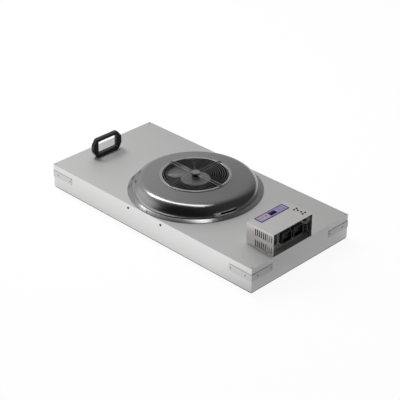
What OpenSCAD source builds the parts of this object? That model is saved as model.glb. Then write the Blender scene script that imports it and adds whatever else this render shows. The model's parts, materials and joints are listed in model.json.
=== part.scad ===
// Fan filter unit: a slim ceiling module that draws air through a spun inlet
// dome, turns it with a backward-curved wheel and pushes it down through a
// pleated filter.  +Z is up, X runs along the module, and the origin is the
// middle of the gasket face that rests on the ceiling grid.

/* [Housing] */
// Length of the module along X
body_l = 1170; // [900:10:1300]
// Width of the module along Y
body_w = 570; // [560:10:700]
// Height of the housing, gasket included
body_h = 112; // [108:1:150]
// Sheet thickness of the housing
sheet = 1.2; // [0.8:0.1:2]
// How far the top cover and the corner straps stand proud of the walls
edge_proud = 1.5; // [1:0.1:3]
// Width of the inward flange that carries the filter
return_w = 22; // [16:1:30]
// Depth of the flange folded down inside the walls by the top cover
cover_drop = 30; // [20:1:40]
// Thickness of the foam gasket that rests on the grid
grid_gasket_h = 5; // [3:0.5:8]

/* [Corner straps] */
// Length of each leg of a corner strap
strap_leg = 121; // [80:1:160]
// Height of a corner strap
strap_h = 30; // [20:1:36]
// Height of the middle of a strap above the floor
strap_z = 69; // [60:1:74]
// Distance of the outer rivet from the corner
rivet_near = 34; // [20:1:50]
// Distance of the inner rivet from the corner
rivet_far = 110; // [60:1:114]
// Diameter of a rivet shank
rivet_d = 4; // [3:0.2:5]

/* [Filter] */
// Height of the filter frame
filter_h = 50; // [40:1:60]
// Thickness of the filter seal on the return flange
filter_seal_h = 4; // [2:0.5:6]
// Wall of the extruded filter frame
frame_t = 1.8; // [1.2:0.1:3]
// Width of the frame's inner lips
frame_lip = 14; // [10:1:18]
// Distance from one pleat to the next
pleat_pitch = 15; // [12:1:24]
// Thickness of the pleated media
media_t = 0.8; // [0.6:0.1:1.5]
// Slot length in the face guard
guard_slot_l = 68; // [40:1:100]
// Slot width in the face guard
guard_slot_w = 12; // [8:1:20]
// Web left between the face guard's slots
guard_web = 6; // [4:0.5:10]

/* [Equaliser plate] */
// Diameter of the holes in the equaliser plate
eq_hole_d = 20; // [10:1:30]
// Distance between the equaliser plate's holes
eq_pitch = 62; // [50:1:90]
// Folded edge of the equaliser plate
eq_edge = 10; // [6:1:14]

/* [Inlet dome] */
// Gap between the dome's flange and the long edges of the panel
dome_edge = 1; // [1:0.5:12]
// Width of the dome's flange, its wall's blend included
dome_rim = 22; // [20:0.5:30]
// Radius of the rounded shoulder
shoulder_r = 58; // [40:1:60]
// Radius of the blend between wall and flange
dome_blend_r = 7; // [3:1:9]
// Wall of the spun dome
dome_t = 1.5; // [1:0.1:2]
// Slope of the crown, rising toward the inlet
crown_slope = 9; // [4:1:12]
// Clear radius of the inlet throat
throat_r = 137; // [128:1:140]
// Wall of the inlet nozzle
nozzle_t = 1.5; // [1:0.1:2]
// Width of the nozzle's rolled lip
lip_w = 13; // [9:1:16]
// Thickness of the nozzle's rolled lip
lip_h = 3; // [2.5:0.1:5]
// Length of each slot in the dome's wall
dome_slot_l = 76; // [30:1:100]
// Height of each slot in the dome's wall
dome_slot_h = 7; // [4:0.5:10]
// Height of the slots above the panel
dome_slot_z = 21; // [16:1:28]
// Number of screws round the dome's flange
dome_screws_n = 6; // [4:1:12]

/* [Inlet guard] */
// Wire radius of the guard rings
ring_wire_r = 1.2; // [0.8:0.1:1.6]
// Wire radius of the guard spokes
spoke_wire_r = 1.6; // [1.2:0.1:2]
// Distance from one ring to the next
ring_pitch = 7; // [6:0.5:12]
// Number of guard rings
ring_n = 15; // [6:1:15]
// Radius of the outermost ring
ring_outer_r = 132; // [120:1:132]
// Distance between the two wires of a spoke
spoke_gap = 15; // [12:1:20]
// Radius of the post that carries the motor below the guard
post_r = 16; // [12:0.5:18]

/* [Motor] */
// Radius of the motor's top casting
motor_r = 62; // [56:1:64]
// Height of the motor's top above the panel
motor_top = 50; // [46:1:52]
// Depth of the motor's top casting
motor_cast_h = 20; // [16:1:22]
// Outer radius of the turning rotor
rotor_r = 58; // [54:1:60]
// Wall of the rotor cup
rotor_t = 4; // [3:0.5:5]
// Radial thickness of the magnets
magnet_t = 4; // [3:0.5:5]
// Radial gap between magnets and stator
air_gap = 0.8; // [0.5:0.1:1.2]
// Radius of the fan shaft
shaft_r = 6; // [5:0.5:8]
// Outer radius of a bearing
bearing_r = 16; // [14:0.5:18]
// Width of a bearing
bearing_w = 10; // [7:0.5:12]

/* [Impeller] */
// Outer radius of the impeller
wheel_r = 205; // [180:1:212]
// Number of blades
blade_n = 7; // [5:1:11]
// Thickness of a blade
blade_t = 2.5; // [1.5:0.1:4]
// Angle of a blade at its inner edge
blade_in_angle = 22; // [18:1:26]
// Angle of a blade at its outer edge
blade_out_angle = 32; // [30:1:36]
// Height of the blades at the outer edge
wheel_exit_h = 30; // [24:1:32]
// Thickness of the back plate
back_t = 2; // [1.5:0.1:3]
// Radius of the curve in the shroud
shroud_bend_r = 28; // [20:1:32]

/* [Control box] */
// Length of the control box along X
box_l = 139.5; // [120:0.5:150]
// Width of the control box along Y
box_w = 224; // [200:1:240]
// Height of the control box
box_h = 96; // [80:1:110]
// Sheet thickness of the control box
box_t = 1.2; // [0.8:0.1:2]
// Depth of the connector recess at the end of the box
recess = 26; // [18:1:34]
// Number of slots in a row of the side vent
vent_n = 9; // [5:1:10]
// Distance between the vent slots
vent_pitch = 10.2; // [8:0.2:11]
// Width of a vent slot
vent_w = 5; // [3:0.5:6]
// Length of a vent slot
vent_h = 30; // [20:1:34]

/* [Handle] */
// Width of the handle along Y
handle_w = 157; // [130:1:180]
// Height of the handle
handle_h = 87; // [70:1:100]
// Thickness of the handle's outer bar
handle_bar_d = 13; // [10:1:16]
// Width of the finger window
window_w = 108; // [90:1:112]
// Height of the finger window
window_h = 59; // [46:1:60]

/* [Hidden] */
$fn = 96;

// Clearances
fit = 0.3;            // between pieces that only sit beside each other
hole_gap = 0.4;       // round a screw or rivet shank
run_gap = 0.05;       // shaft in its bearings
seat_gap = 0.02;      // bearings and magnets in their seats
weld = 0.6;           // how deep fused wires sink into each other
over = 1;             // how far a cutter reaches past the face it opens

// Screws and rivets: head radius, head height, shank radius, shank length
strap_rivet = [3.4, 1, rivet_d / 2, edge_proud + sheet + 1];
corner_rivet = [2.8, 0.9, 1.6, 5];
cover_screw = [4, 2.2, 2, 6];
dome_screw = [3.4, 2, 2, 6];
foot_screw = [3, 2, 1.5, 8];
wheel_screw = [3.6, 2.2, 1.9, back_t + 3];
plate_screw = [3.6, 2, 2, 6];
box_screw = [3.2, 1.8, 1.5, 5];
handle_screw = [4.4, 2.6, 2, sheet + 9];

// Housing
half_l = body_l / 2;
half_w = body_w / 2;
wall_x = half_l - edge_proud;
wall_y = half_w - edge_proud;
panel_z = body_h;
wall_top = body_h - sheet;
flange_z = grid_gasket_h;
cover_in = sheet + fit;
cover_screw_z = body_h - 20;
cover_screw_x = [-106, 85];
corner_rivet_in = [9, 10];
strap_corner_r = 5;
gasket_inset = 2;
gasket_w = 16;

// Filter stack
seal_z = flange_z + sheet;
frame_z = seal_z + filter_seal_h;
frame_top = frame_z + filter_h;
frame_in = sheet + 2;
frame_l = 2 * (wall_x - frame_in);
frame_w = 2 * (wall_y - frame_in);
guard_t = 1;
guard_z = frame_z + frame_t + fit;
media_z = guard_z + guard_t + fit;
media_top = frame_top - frame_t - fit;
eq_t = 1;
eq_z = frame_top + fit;
eq_margin = 20;

// Brackets that press the filter down: places along the wall, width, sheet, heights
clamp_x = [-440, -200, 200, 440];
clamp_w = 24;
clamp_t = 1.5;
clamp_foot_z = eq_z + eq_edge + fit;
clamp_toe_z = eq_z + eq_t + fit;
clamp_rise = 10;
clamp_reach = 22;
clamp_toe = 34;
stud_r = 2;
stud_l = 5.5;
stud_z = clamp_foot_z + 6;
nut_r = 4;
nut_h = 3;

// Dome: the crown line touches the shoulder's arc where their slopes agree
dome_flange_r = half_w - dome_edge;
dome_r = dome_flange_r - dome_rim;
shoulder_x = dome_r - shoulder_r;
crown_r0 = shoulder_x + shoulder_r * sin(crown_slope);
crown_h0 = shoulder_r * cos(crown_slope);
seat_r = throat_r + lip_w + 2;
seat_h = crown_h0 + (crown_r0 - seat_r) * tan(crown_slope);
lip_top = panel_z + seat_h + lip_h;
nozzle_end = 14;
dome_hole_r = throat_r + nozzle_t + 0.7;
dome_screw_r = (dome_r + dome_blend_r + dome_flange_r) / 2 + 1;
panel_open_r = dome_r - 10;
slot_angles = [-14, -166];
bead_r = 1;

// Guard
foot_r = throat_r + lip_w / 2;
foot_t = 1.2;
foot_l = 10;
foot_w = spoke_gap + 4 * spoke_wire_r;
spoke_z = lip_top + foot_t + spoke_wire_r - weld;
ring_z = spoke_z - spoke_wire_r - ring_wire_r + weld;
ring_inner_r = post_r + 4;
spoke_end_r = foot_r + 2;
cap_h = 5;
post_foot_h = 3;
stud_bolt_r = 4;
post_bore_r = stud_bolt_r + hole_gap;

// Motor and wheel, heights above the panel
top_z = panel_z + motor_top;
cast_z = top_z - motor_cast_h;
cast_edge_r = 4;
cast_wall = 6;
wheel_drop = 42;
rotor_clear = 2;
core_rise = 10;
core_fall = 8;
wheel_z = panel_z - wheel_drop;
rotor_z = wheel_z + back_t;
rotor_top = cast_z - rotor_clear;
magnet_r = rotor_r - rotor_t;
core_r = magnet_r - magnet_t - air_gap;
tube_r = bearing_r + 3;
core_z = rotor_z + rotor_t + core_rise;
core_h = rotor_top - core_z - core_fall;
coil_rise = 5;
coil_grow = 9;
core_slots = 12;
core_slot_r = 3;
bearing_low_z = core_z - 4;
bearing_high_z = cast_z - bearing_w;
bearing_step = 3;
shaft_foot = 0.5;
boss_h = 2.5;
boss_wall = 5;
socket_rise = 10;
hub_wall = 6;
hub_bore_r = 12;
wheel_in_r = throat_r + 3;
eye_r = throat_r + nozzle_t + 3;
eye_z = panel_z + nozzle_end + 8;
bend_x = eye_r + shroud_bend_r;
shroud_t = 2;
exit_z = rotor_z + wheel_exit_h;
blade_arc_r = (wheel_r * wheel_r - wheel_in_r * wheel_in_r)
    / (2 * (wheel_r * cos(blade_out_angle) - wheel_in_r * cos(blade_in_angle)));
blade_arc_c = sqrt(wheel_in_r * wheel_in_r + blade_arc_r * blade_arc_r
    - 2 * wheel_in_r * blade_arc_r * cos(blade_in_angle));
impeller_screw_r = 30;
wheel_screws_n = 4;
blade_sink = 0.5;

// Electronics lobe beside the motor
lobe_x0 = -throat_r + 7;
lobe_x1 = -motor_r + 8;
lobe_y = -11;
lobe_w = 108;
lobe_corner = 34;
lobe_h = 16;
lobe_wall = 2.5;
lobe_z = top_z - lobe_h;
board_t = 1.6;
capacitor_x = [-110, -90];
capacitor_y = [lobe_y - 24, lobe_y + 20];
capacitor_r = 6;

// Fan cable: from the motor through the throat wall, round under the dome,
// through the panel and up into the control box
cable_r = 3.5;
cable_bore_r = cable_r + 1;
cable_sides = 8;
cable_angle = 138;
cable_z = panel_z + 44;
grommet_r = 7;
grommet_lip = 2.5;
grommet_t = 2;
panel_grommet_r = 10;
panel_grommet_x = half_l - 103;
run_x0 = 236;
run_l = panel_grommet_x - run_x0;
panel_grommet_y = -51;
route = [
    [-47, 42, 154], [-66, 60, 158], [-84, 76, 158], [-103, 92, 156], [-126, 114, 156],
    [-148, 134, 152], [-146, 160, 146], [-110, 190, 140], [-60, 212, 136], [0, 220, 134],
    [60, 212, 134], [120, 184, 132], [166, 146, 128], [200, 100, 122], [222, 50, 110],
    [run_x0, 0, 103], [run_x0 + run_l * 0.18, -30, 100], [run_x0 + run_l * 0.42, -48, 100],
    [run_x0 + run_l * 0.75, -51, 100], [run_x0 + run_l * 0.93, -51, 99],
    [panel_grommet_x - 5, -51, 101], [panel_grommet_x, -51, 108], [panel_grommet_x, -51, 117],
    [panel_grommet_x + 5, -51, 128], [panel_grommet_x + 18, -51, 130]
];

// Control box
box_end = half_l - 3.5;
box_x0 = box_end - box_l;
box_y0 = -163;
box_top = panel_z + box_h;
plate_x = box_end - recess;
plate_t = 1.5;
vent_x = box_x0 + 47.5;
vent_rows = [22, 71];
label_l = 42;
label_w = 161;
label_x = box_x0 + 4;
label_y = box_y0 + 35;
label_t = 0.8;
label_corner = 3;
display_x = label_x + 21;
display_y = label_y + 84;
display_l = 18;
display_w = 33;
display_rim = 2;
display_proud = 0.4;
lamp_x = label_x + 18;
lamp_y = [label_y + 33, label_y + 49];
lamp_r = 3.5;
lamp_rim = 1.5;
lamp_proud = 0.6;
top_screw_in = 12;
top_screw_y = box_w - top_screw_in;
top_screw_xy = [[68, top_screw_y], [68, top_screw_y - 15], [81, top_screw_y - 7.5],
    [98, top_screw_y - 7.5], [112, top_screw_y], [112, top_screw_y - 15]];

// Connector plate: along Y, height above the panel, width, height of each fitting
plate_flange = 14;
slack = box_w - 224;
inlet_at = [-74 + slack * 0.35, 46, 58, 46];
outlet_at = [-8 + slack * 0.65, 46, 58, 46];
data_at = [38 + slack * 0.75, 28, 30, 34];
switch_at = [-134, 54, 22, 48];
fuse_at = [40 + slack * 0.75, 70, 9];
plate_screw_y = [-105 + slack * 0.3, -41 + slack * 0.5, 18 + slack * 0.7];
plate_screw_z = [16, 78];
bezel = 2;            // how far a fitting's flange covers the plate
body_back = 16;       // depth of a fitting behind the plate
contact_pitch = 13;
contact_rise = 6;
contact_well_r = 3.5;
contact_pin_r = 1.5;
socket_out = 15;
socket_wall = 4;
port_out = 8;
port_pitch = 16;

// Rocker switch
rocker_tilt = 10;
rocker_pin_r = 1.5;
rocker_l = 26;
rocker_w = 13;
rocker_h = 8;
rocker_dish_r = 34.5;
pin_depth = 2;

// Control board, on standoffs above the panel
standoff_h = 12;
standoff_r = 3;
ctrl_z = panel_z + standoff_h;
ctrl_x = [box_x0 + 56, plate_x - 22];
ctrl_y = [box_y0 + 12, box_y0 + box_w - 12];
ctrl_part = [72, 40, 22, 7, 26];
supply_h = 32;

// Handle
handle_in = 86;
handle_x = -half_l + handle_in;
handle_y = -50.5;
handle_cut_w = 20;
handle_cut_h = 27;
handle_screw_y = 45;
handle_bore_l = 12;
window_corner = 6;
window_rise = 2;

// Flat round-cornered rectangle, centred
module rounded(l, w, r) {
    square([l - 2 * r, w], center = true);
    square([l, w - 2 * r], center = true);
    for (sx = [-1, 1], sy = [-1, 1])
        translate([sx * (l / 2 - r), sy * (w / 2 - r)]) circle(r, $fn = 48);
}

// Box given by its lowest and highest corners
module span(a, b) {
    translate(a) cube(b - a);
}

// Rectangular ring lying flat
module ring_plate(l, w, l2, w2, z, h) {
    difference() {
        span([-l / 2, -w / 2, z], [l / 2, w / 2, z + h]);
        span([-l2 / 2, -w2 / 2, z - over], [l2 / 2, w2 / 2, z + h + over]);
    }
}

// Pan-head screw pointing down, its seat at the origin
module screw(s) {
    cylinder(r = s[0], h = s[1], $fn = 32);
    translate([0, 0, -s[3]]) cylinder(r = s[2], h = s[3] + s[1] / 2, $fn = 32);
}

// Cutter for a screw's clearance hole through thin sheet at the origin
module screw_hole(s, depth = 14) {
    cylinder(r = s[2] + hole_gap, h = depth, center = true, $fn = 32);
}

// Four children turned a quarter apart about the fan's axis
module quarters() {
    for (a = [0:90:270]) rotate(a) children();
}

// Places children on the two long walls, with +Z pointing out of the housing
module at_cover_screws() {
    for (x = cover_screw_x, side = [0, 180])
        rotate(side) translate([x, -wall_y, cover_screw_z]) rotate([90, 0, 0]) children();
}

// ---------------------------------------------------------------- housing

// Folded wall with its inward flange and the weld studs for the clamps
module wall_frame() {
    color("gainsboro") union() {
        difference() {
            span([-wall_x, -wall_y, flange_z], [wall_x, wall_y, wall_top]);
            span([-wall_x + sheet, -wall_y + sheet, flange_z + sheet],
                 [wall_x - sheet, wall_y - sheet, wall_top + over]);
            span([-wall_x + return_w, -wall_y + return_w, flange_z - over],
                 [wall_x - return_w, wall_y - return_w, wall_top]);
            for (i = [0:3]) at_corner(i) one_corner_rivets() screw_hole(strap_rivet);
            at_cover_screws() screw_hole(cover_screw);
        }
        at_clamps() translate([0, sheet / 2, stud_z]) rotate([-90, 0, 0])
            cylinder(r = stud_r, h = sheet / 2 + stud_l, $fn = 24);
    }
}

module top_cover() {
    drop_l = 2 * (wall_x - cover_in);
    drop_w = 2 * (wall_y - cover_in);
    color("lightgray") difference() {
        union() {
            span([-half_l, -half_w, wall_top], [half_l, half_w, body_h]);
            ring_plate(drop_l, drop_w, drop_l - 2 * sheet, drop_w - 2 * sheet,
                       body_h - cover_drop, cover_drop - sheet / 2);
        }
        translate([0, 0, body_h]) {
            cylinder(r = panel_open_r, h = 4 * sheet, center = true, $fn = 180);
            translate([panel_grommet_x, panel_grommet_y, 0])
                cylinder(r = panel_grommet_r, h = 4 * sheet, center = true, $fn = 48);
        }
        at_cover_screws() screw_hole(cover_screw);
        at_dome_screws() screw_hole(dome_screw);
        at_corner_rivets() screw_hole(corner_rivet);
        at_handle_screws() screw_hole(handle_screw);
    }
}

// Mirrors the corner between the front and the right end onto corner i
module at_corner(i) {
    mirror([i == 1 || i == 2 ? 1 : 0, 0, 0]) mirror([0, i > 1 ? 1 : 0, 0]) children();
}

// Strap bent round a corner: two legs with round far ends, square at the bend
module corner_strap(i) {
    lo = strap_z - strap_h / 2;
    hi = strap_z + strap_h / 2;
    near = 2 * strap_corner_r;
    color("silver") at_corner(i) difference() {
        union() {
            translate([half_l - strap_leg / 2, -wall_y, strap_z]) rotate([90, 0, 0])
                linear_extrude(edge_proud) rounded(strap_leg, strap_h, strap_corner_r);
            translate([wall_x, -half_w + strap_leg / 2, strap_z]) rotate([90, 0, 90])
                linear_extrude(edge_proud) rounded(strap_leg, strap_h, strap_corner_r);
            span([half_l - near, -half_w, lo], [half_l, -wall_y, hi]);
            span([wall_x, -half_w, lo], [half_l, -half_w + near, hi]);
        }
        one_corner_rivets() screw_hole(strap_rivet);
    }
}

// The two rivets of each leg at the corner between the front and the right end
module one_corner_rivets() {
    for (d = [rivet_near, rivet_far]) {
        translate([half_l - d, -half_w, strap_z]) rotate([90, 0, 0]) children();
        translate([half_l, -half_w + d, strap_z]) rotate([90, 0, 90]) children();
    }
}

module strap_rivets() {
    color("dimgray") for (i = [0:3]) at_corner(i) one_corner_rivets() screw(strap_rivet);
}

module at_corner_rivets() {
    for (sx = [-1, 1], sy = [-1, 1])
        translate([sx * (half_l - corner_rivet_in[0]), sy * (half_w - corner_rivet_in[1]), body_h])
            children();
}

module corner_rivets() {
    color("dimgray") at_corner_rivets() screw(corner_rivet);
}

module cover_screws() {
    color("dimgray") at_cover_screws() screw(cover_screw);
}

// Foam strip under the inward flange
module grid_gasket() {
    l = 2 * (wall_x - gasket_inset);
    w = 2 * (wall_y - gasket_inset);
    color("dimgray") ring_plate(l, w, l - 2 * gasket_w, w - 2 * gasket_w, 0, grid_gasket_h);
}

// ---------------------------------------------------------------- filter

module filter_seal() {
    color("white") ring_plate(frame_l, frame_w, frame_l - 2 * frame_lip, frame_w - 2 * frame_lip,
                              seal_z, filter_seal_h);
}

// Channel-shaped extrusion, open inward, mitred into a ring
module filter_frame() {
    inner_l = frame_l - 2 * frame_t;
    inner_w = frame_w - 2 * frame_t;
    color("silver") difference() {
        ring_plate(frame_l, frame_w, frame_l - 2 * frame_lip, frame_w - 2 * frame_lip, frame_z, filter_h);
        span([-inner_l / 2, -inner_w / 2, frame_z + frame_t],
             [inner_l / 2, inner_w / 2, frame_top - frame_t]);
    }
}

// Zigzag of folded media, as a closed outline computed from the pleat pitch
module filter_media() {
    pack_l = frame_l - 2 * frame_t - 2;
    pack_w = frame_w - 2 * frame_t - 2;
    folds = floor(pack_l / pleat_pitch);
    rise = media_top - media_z - media_t;
    x0 = -folds * pleat_pitch / 2;
    crest = [for (i = [0:2 * folds])
        [x0 + i * pleat_pitch / 2, media_z + (i % 2 == 0 ? 0 : rise)]];
    upper = [for (p = crest) p + [0, media_t * 1.2]];
    lower = [for (i = [len(crest) - 1:-1:0]) crest[i]];
    color("white") translate([0, pack_w / 2, 0]) rotate([90, 0, 0])
        linear_extrude(pack_w) polygon(concat(upper, lower));
}

module face_guard() {
    plate_l = frame_l - 2 * frame_t - 2;
    plate_w = frame_w - 2 * frame_t - 2;
    step_x = guard_slot_l + guard_web;
    step_y = guard_slot_w + guard_web;
    nx = floor((frame_l - 2 * frame_lip) / step_x);
    ny = floor((frame_w - 2 * frame_lip) / step_y);
    color("whitesmoke") translate([0, 0, guard_z]) linear_extrude(guard_t) difference() {
        square([plate_l, plate_w], center = true);
        for (i = [0:nx - 1], j = [0:ny - 1])
            translate([(i - (nx - 1) / 2) * step_x, (j - (ny - 1) / 2) * step_y])
                square([guard_slot_l, guard_slot_w], center = true);
    }
}

module equaliser_plate() {
    nx = floor((frame_l - 2 * eq_margin) / eq_pitch);
    ny = floor((frame_w - 2 * eq_margin) / eq_pitch);
    color("silver") difference() {
        union() {
            span([-frame_l / 2, -frame_w / 2, eq_z], [frame_l / 2, frame_w / 2, eq_z + eq_t]);
            ring_plate(frame_l, frame_w, frame_l - 2 * eq_t, frame_w - 2 * eq_t, eq_z, eq_edge);
        }
        for (i = [0:nx - 1], j = [0:ny - 1])
            translate([(i - (nx - 1) / 2) * eq_pitch, (j - (ny - 1) / 2) * eq_pitch, eq_z])
                cylinder(r = eq_hole_d / 2, h = 4 * eq_t, center = true, $fn = 32);
    }
}

// Places children at each clamp, with Y counted inward from the wall's outer face
module at_clamps() {
    for (side = [0, 180], x = clamp_x) rotate(side) translate([x, -wall_y, 0]) children();
}

// Stepped brackets that press the equaliser plate and the filter down
module filter_clamps() {
    h = clamp_w / 2;
    color("silver") at_clamps() difference() {
        union() {
            span([-h, sheet, clamp_foot_z], [h, sheet + clamp_t, clamp_foot_z + clamp_rise]);
            span([-h, sheet, clamp_foot_z], [h, clamp_reach, clamp_foot_z + clamp_t]);
            span([-h, clamp_reach - clamp_t, clamp_toe_z], [h, clamp_reach, clamp_foot_z + clamp_t]);
            span([-h, clamp_reach - clamp_t, clamp_toe_z], [h, clamp_toe, clamp_toe_z + clamp_t]);
        }
        translate([0, sheet, stud_z]) rotate([90, 0, 0])
            cylinder(r = stud_r + hole_gap, h = 4 * clamp_t, center = true, $fn = 24);
    }
}

module clamp_nuts() {
    color("silver") at_clamps() translate([0, sheet + clamp_t, stud_z]) rotate([-90, 0, 0])
        difference() {
            cylinder(r = nut_r, h = nut_h, $fn = 6);
            translate([0, 0, -over]) cylinder(r = stud_r + run_gap, h = nut_h + 2 * over, $fn = 24);
        }
}

// ---------------------------------------------------------------- inlet

// Half section under the dome's outer face, inset by d
module dome_section(d) {
    square([shoulder_x, shoulder_r - d]);
    intersection() {
        translate([shoulder_x, 0]) circle(shoulder_r - d, $fn = 180);
        square([dome_r, shoulder_r]);
    }
    polygon([[0, 0], [crown_r0 - d * sin(crown_slope), crown_h0 - d],
             [seat_r, seat_h - d], [0, seat_h - d]]);
}

module inlet_dome() {
    color("slategray") translate([0, 0, panel_z]) difference() {
        rotate_extrude($fn = 180) difference() {
            union() {
                dome_section(0);
                square([dome_flange_r - bead_r, dome_t]);
                translate([dome_flange_r - bead_r, bead_r]) circle(bead_r, $fn = 32);
                difference() {
                    translate([dome_r - dome_t, 0])
                        square([dome_blend_r + dome_t, dome_blend_r + dome_t]);
                    translate([dome_r + dome_blend_r, dome_blend_r + dome_t])
                        circle(dome_blend_r, $fn = 64);
                }
            }
            dome_section(dome_t);
            square([dome_hole_r, 2 * seat_h]);
        }
        at_dome_screws(0) screw_hole(dome_screw);
        for (a = slot_angles) rotate(a) translate([shoulder_x, 0, dome_slot_z]) rotate([90, 0, 90])
            linear_extrude(shoulder_r + dome_blend_r)
                rounded(dome_slot_l, dome_slot_h, dome_slot_h / 2 - hole_gap);
        quarters() translate([foot_r, 0, seat_h]) screw_hole(foot_screw);
    }
}

module at_dome_screws(z = panel_z) {
    for (i = [0:dome_screws_n - 1])
        rotate((i - 0.5) * 360 / dome_screws_n) translate([dome_screw_r, 0, z]) children();
}

module dome_screws() {
    color("silver") at_dome_screws() translate([0, 0, dome_t]) screw(dome_screw);
}

// Bell-mouth with a rolled lip on the crown and a straight throat into the wheel's eye
module inlet_nozzle() {
    color("silver") difference() {
        rotate_extrude($fn = 180) {
            translate([throat_r + lip_w / 2, panel_z + seat_h + lip_h / 2])
                rounded(lip_w, lip_h, lip_h / 2 - hole_gap / 4);
            translate([throat_r, panel_z + nozzle_end])
                square([nozzle_t, seat_h + lip_h / 2 - nozzle_end]);
        }
        quarters() translate([foot_r, 0, lip_top]) screw_hole(foot_screw);
        at_nozzle_hole() cylinder(r = grommet_r, h = 8 * nozzle_t, center = true, $fn = 32);
    }
}

// Rings welded under two crossing pairs of spokes, with a foot plate at each end
module inlet_guard() {
    color("silver") difference() {
        union() {
            for (i = [0:ring_n - 1]) let (r = ring_outer_r - i * ring_pitch) if (r > ring_inner_r)
                rotate_extrude($fn = 120) translate([r, ring_z]) circle(ring_wire_r, $fn = 24);
            for (a = [0, 90], s = [-1, 1]) rotate(a)
                translate([0, s * spoke_gap / 2, spoke_z]) rotate([0, 90, 0]) rotate(45)
                    cylinder(r = spoke_wire_r, h = 2 * spoke_end_r, center = true, $fn = 24);
            quarters() span([foot_r - foot_l / 2, -foot_w / 2, lip_top],
                            [foot_r + foot_l / 2, foot_w / 2, lip_top + foot_t]);
        }
        quarters() translate([foot_r, 0, lip_top]) screw_hole(foot_screw);
    }
}

module guard_feet_screws() {
    color("black") quarters() translate([foot_r, 0, lip_top + foot_t]) screw(foot_screw);
}

// Post between the motor's top and the guard, with a bore for the cap's stud
module guard_post() {
    h = spoke_z - spoke_wire_r - top_z;
    color("black") translate([0, 0, top_z]) difference() {
        union() {
            cylinder(r = post_r, h = h);
            cylinder(r = post_r + 2, h = post_foot_h);
        }
        cylinder(r = post_bore_r, h = 3 * h, center = true, $fn = 48);
    }
}

// Six-sided cap on the spokes, with the stud that holds the motor up
module guard_cap() {
    cap_z = spoke_z + spoke_wire_r;
    stud_end = cast_z + motor_cast_h / 2;
    color("gray") {
        translate([0, 0, cap_z]) cylinder(r = post_r + 5, h = cap_h, $fn = 6);
        translate([0, 0, stud_end]) cylinder(r = stud_bolt_r, h = cap_z - stud_end + over, $fn = 48);
    }
}

// ---------------------------------------------------------------- motor

// Top casting with round edge, and the tube below it that holds both bearings
module motor_casting() {
    tube_z = bearing_low_z - bearing_step + 1;
    color("gray") difference() {
        union() {
            translate([0, 0, cast_z]) rotate_extrude($fn = 120) {
                square([motor_r, motor_cast_h - cast_edge_r]);
                square([motor_r - cast_edge_r, motor_cast_h]);
                translate([motor_r - cast_edge_r, motor_cast_h - cast_edge_r])
                    circle(cast_edge_r, $fn = 48);
            }
            translate([0, 0, tube_z]) cylinder(r = tube_r, h = cast_z - tube_z + over);
        }
        translate([0, 0, cast_z]) cylinder(r = post_bore_r, h = motor_cast_h + over, $fn = 48);
        translate([0, 0, tube_z - over]) cylinder(r = bearing_r, h = cast_z - tube_z + over);
        translate([0, 0, cast_z - over]) cylinder(r = bearing_r - bearing_step, h = over + 2);
        translate([0, 0, cast_z - over]) difference() {
            cylinder(r = motor_r - cast_wall, h = motor_cast_h - cast_wall + over);
            cylinder(r = tube_r, h = motor_cast_h);
        }
        translate([-motor_r, lobe_y, lobe_z + cast_wall]) rotate([0, 90, 0])
            cylinder(r = cable_r, h = 4 * cast_wall, center = true, $fn = 32);
    }
}

// Laminated stack with the coils' round ends above and below
module stator_core() {
    coil_r = (core_r + tube_r) / 2 + coil_grow;
    color("peru") difference() {
        union() {
            translate([0, 0, core_z]) cylinder(r = core_r, h = core_h);
            translate([0, 0, core_z - coil_rise]) cylinder(r = coil_r, h = core_h + 2 * coil_rise);
        }
        translate([0, 0, core_z - 2 * coil_rise])
            cylinder(r = tube_r + run_gap, h = core_h + 4 * coil_rise);
        for (i = [0:core_slots - 1]) rotate(i * 360 / core_slots)
            translate([core_r, 0, core_z - over])
                cylinder(r = core_slot_r, h = core_h + 2 * over, $fn = 24);
    }
}

// Ball bearing with the groove of its shields in both faces
module bearing(z) {
    groove = 0.8;
    color("lightsteelblue") translate([0, 0, z + bearing_w / 2]) difference() {
        cylinder(r = bearing_r - seat_gap, h = bearing_w, center = true);
        cylinder(r = shaft_r + run_gap, h = bearing_w + 2 * over, center = true);
        difference() {
            cylinder(r = bearing_r - bearing_step, h = bearing_w + 2 * over, center = true);
            cylinder(r = shaft_r + bearing_step, h = bearing_w + 4 * over, center = true);
            cylinder(r = bearing_r, h = bearing_w - 2 * groove, center = true);
        }
    }
}

// Flat outline of the electronics lobe, grown by d and open toward the motor
module lobe_outline(d) {
    l = lobe_x1 - lobe_x0;
    difference() {
        translate([lobe_x0 + l / 2, lobe_y]) rounded(l + 2 * d, lobe_w + 2 * d, lobe_corner + d);
        circle(motor_r + fit - d, $fn = 120);
    }
}

// Cast tray over the drive electronics, open downward
module electronics_cover() {
    color("gray") difference() {
        translate([0, 0, lobe_z]) linear_extrude(lobe_h - 1) lobe_outline(0);
        translate([0, 0, lobe_z - over])
            linear_extrude(lobe_h - 1 - lobe_wall + over) lobe_outline(-lobe_wall);
    }
}

module drive_board() {
    color("darkgreen") {
        translate([0, 0, lobe_z + 1]) linear_extrude(board_t) lobe_outline(-lobe_wall - fit);
        for (x = capacitor_x, y = capacitor_y) translate([x, y, lobe_z + board_t])
            cylinder(r = capacitor_r, h = lobe_h - lobe_wall - 2 * board_t - 1, $fn = 32);
    }
}

module fan_shaft() {
    foot_z = rotor_z + shaft_foot;
    color("silver") translate([0, 0, foot_z]) cylinder(r = shaft_r, h = cast_z + 1 - foot_z);
}

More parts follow.
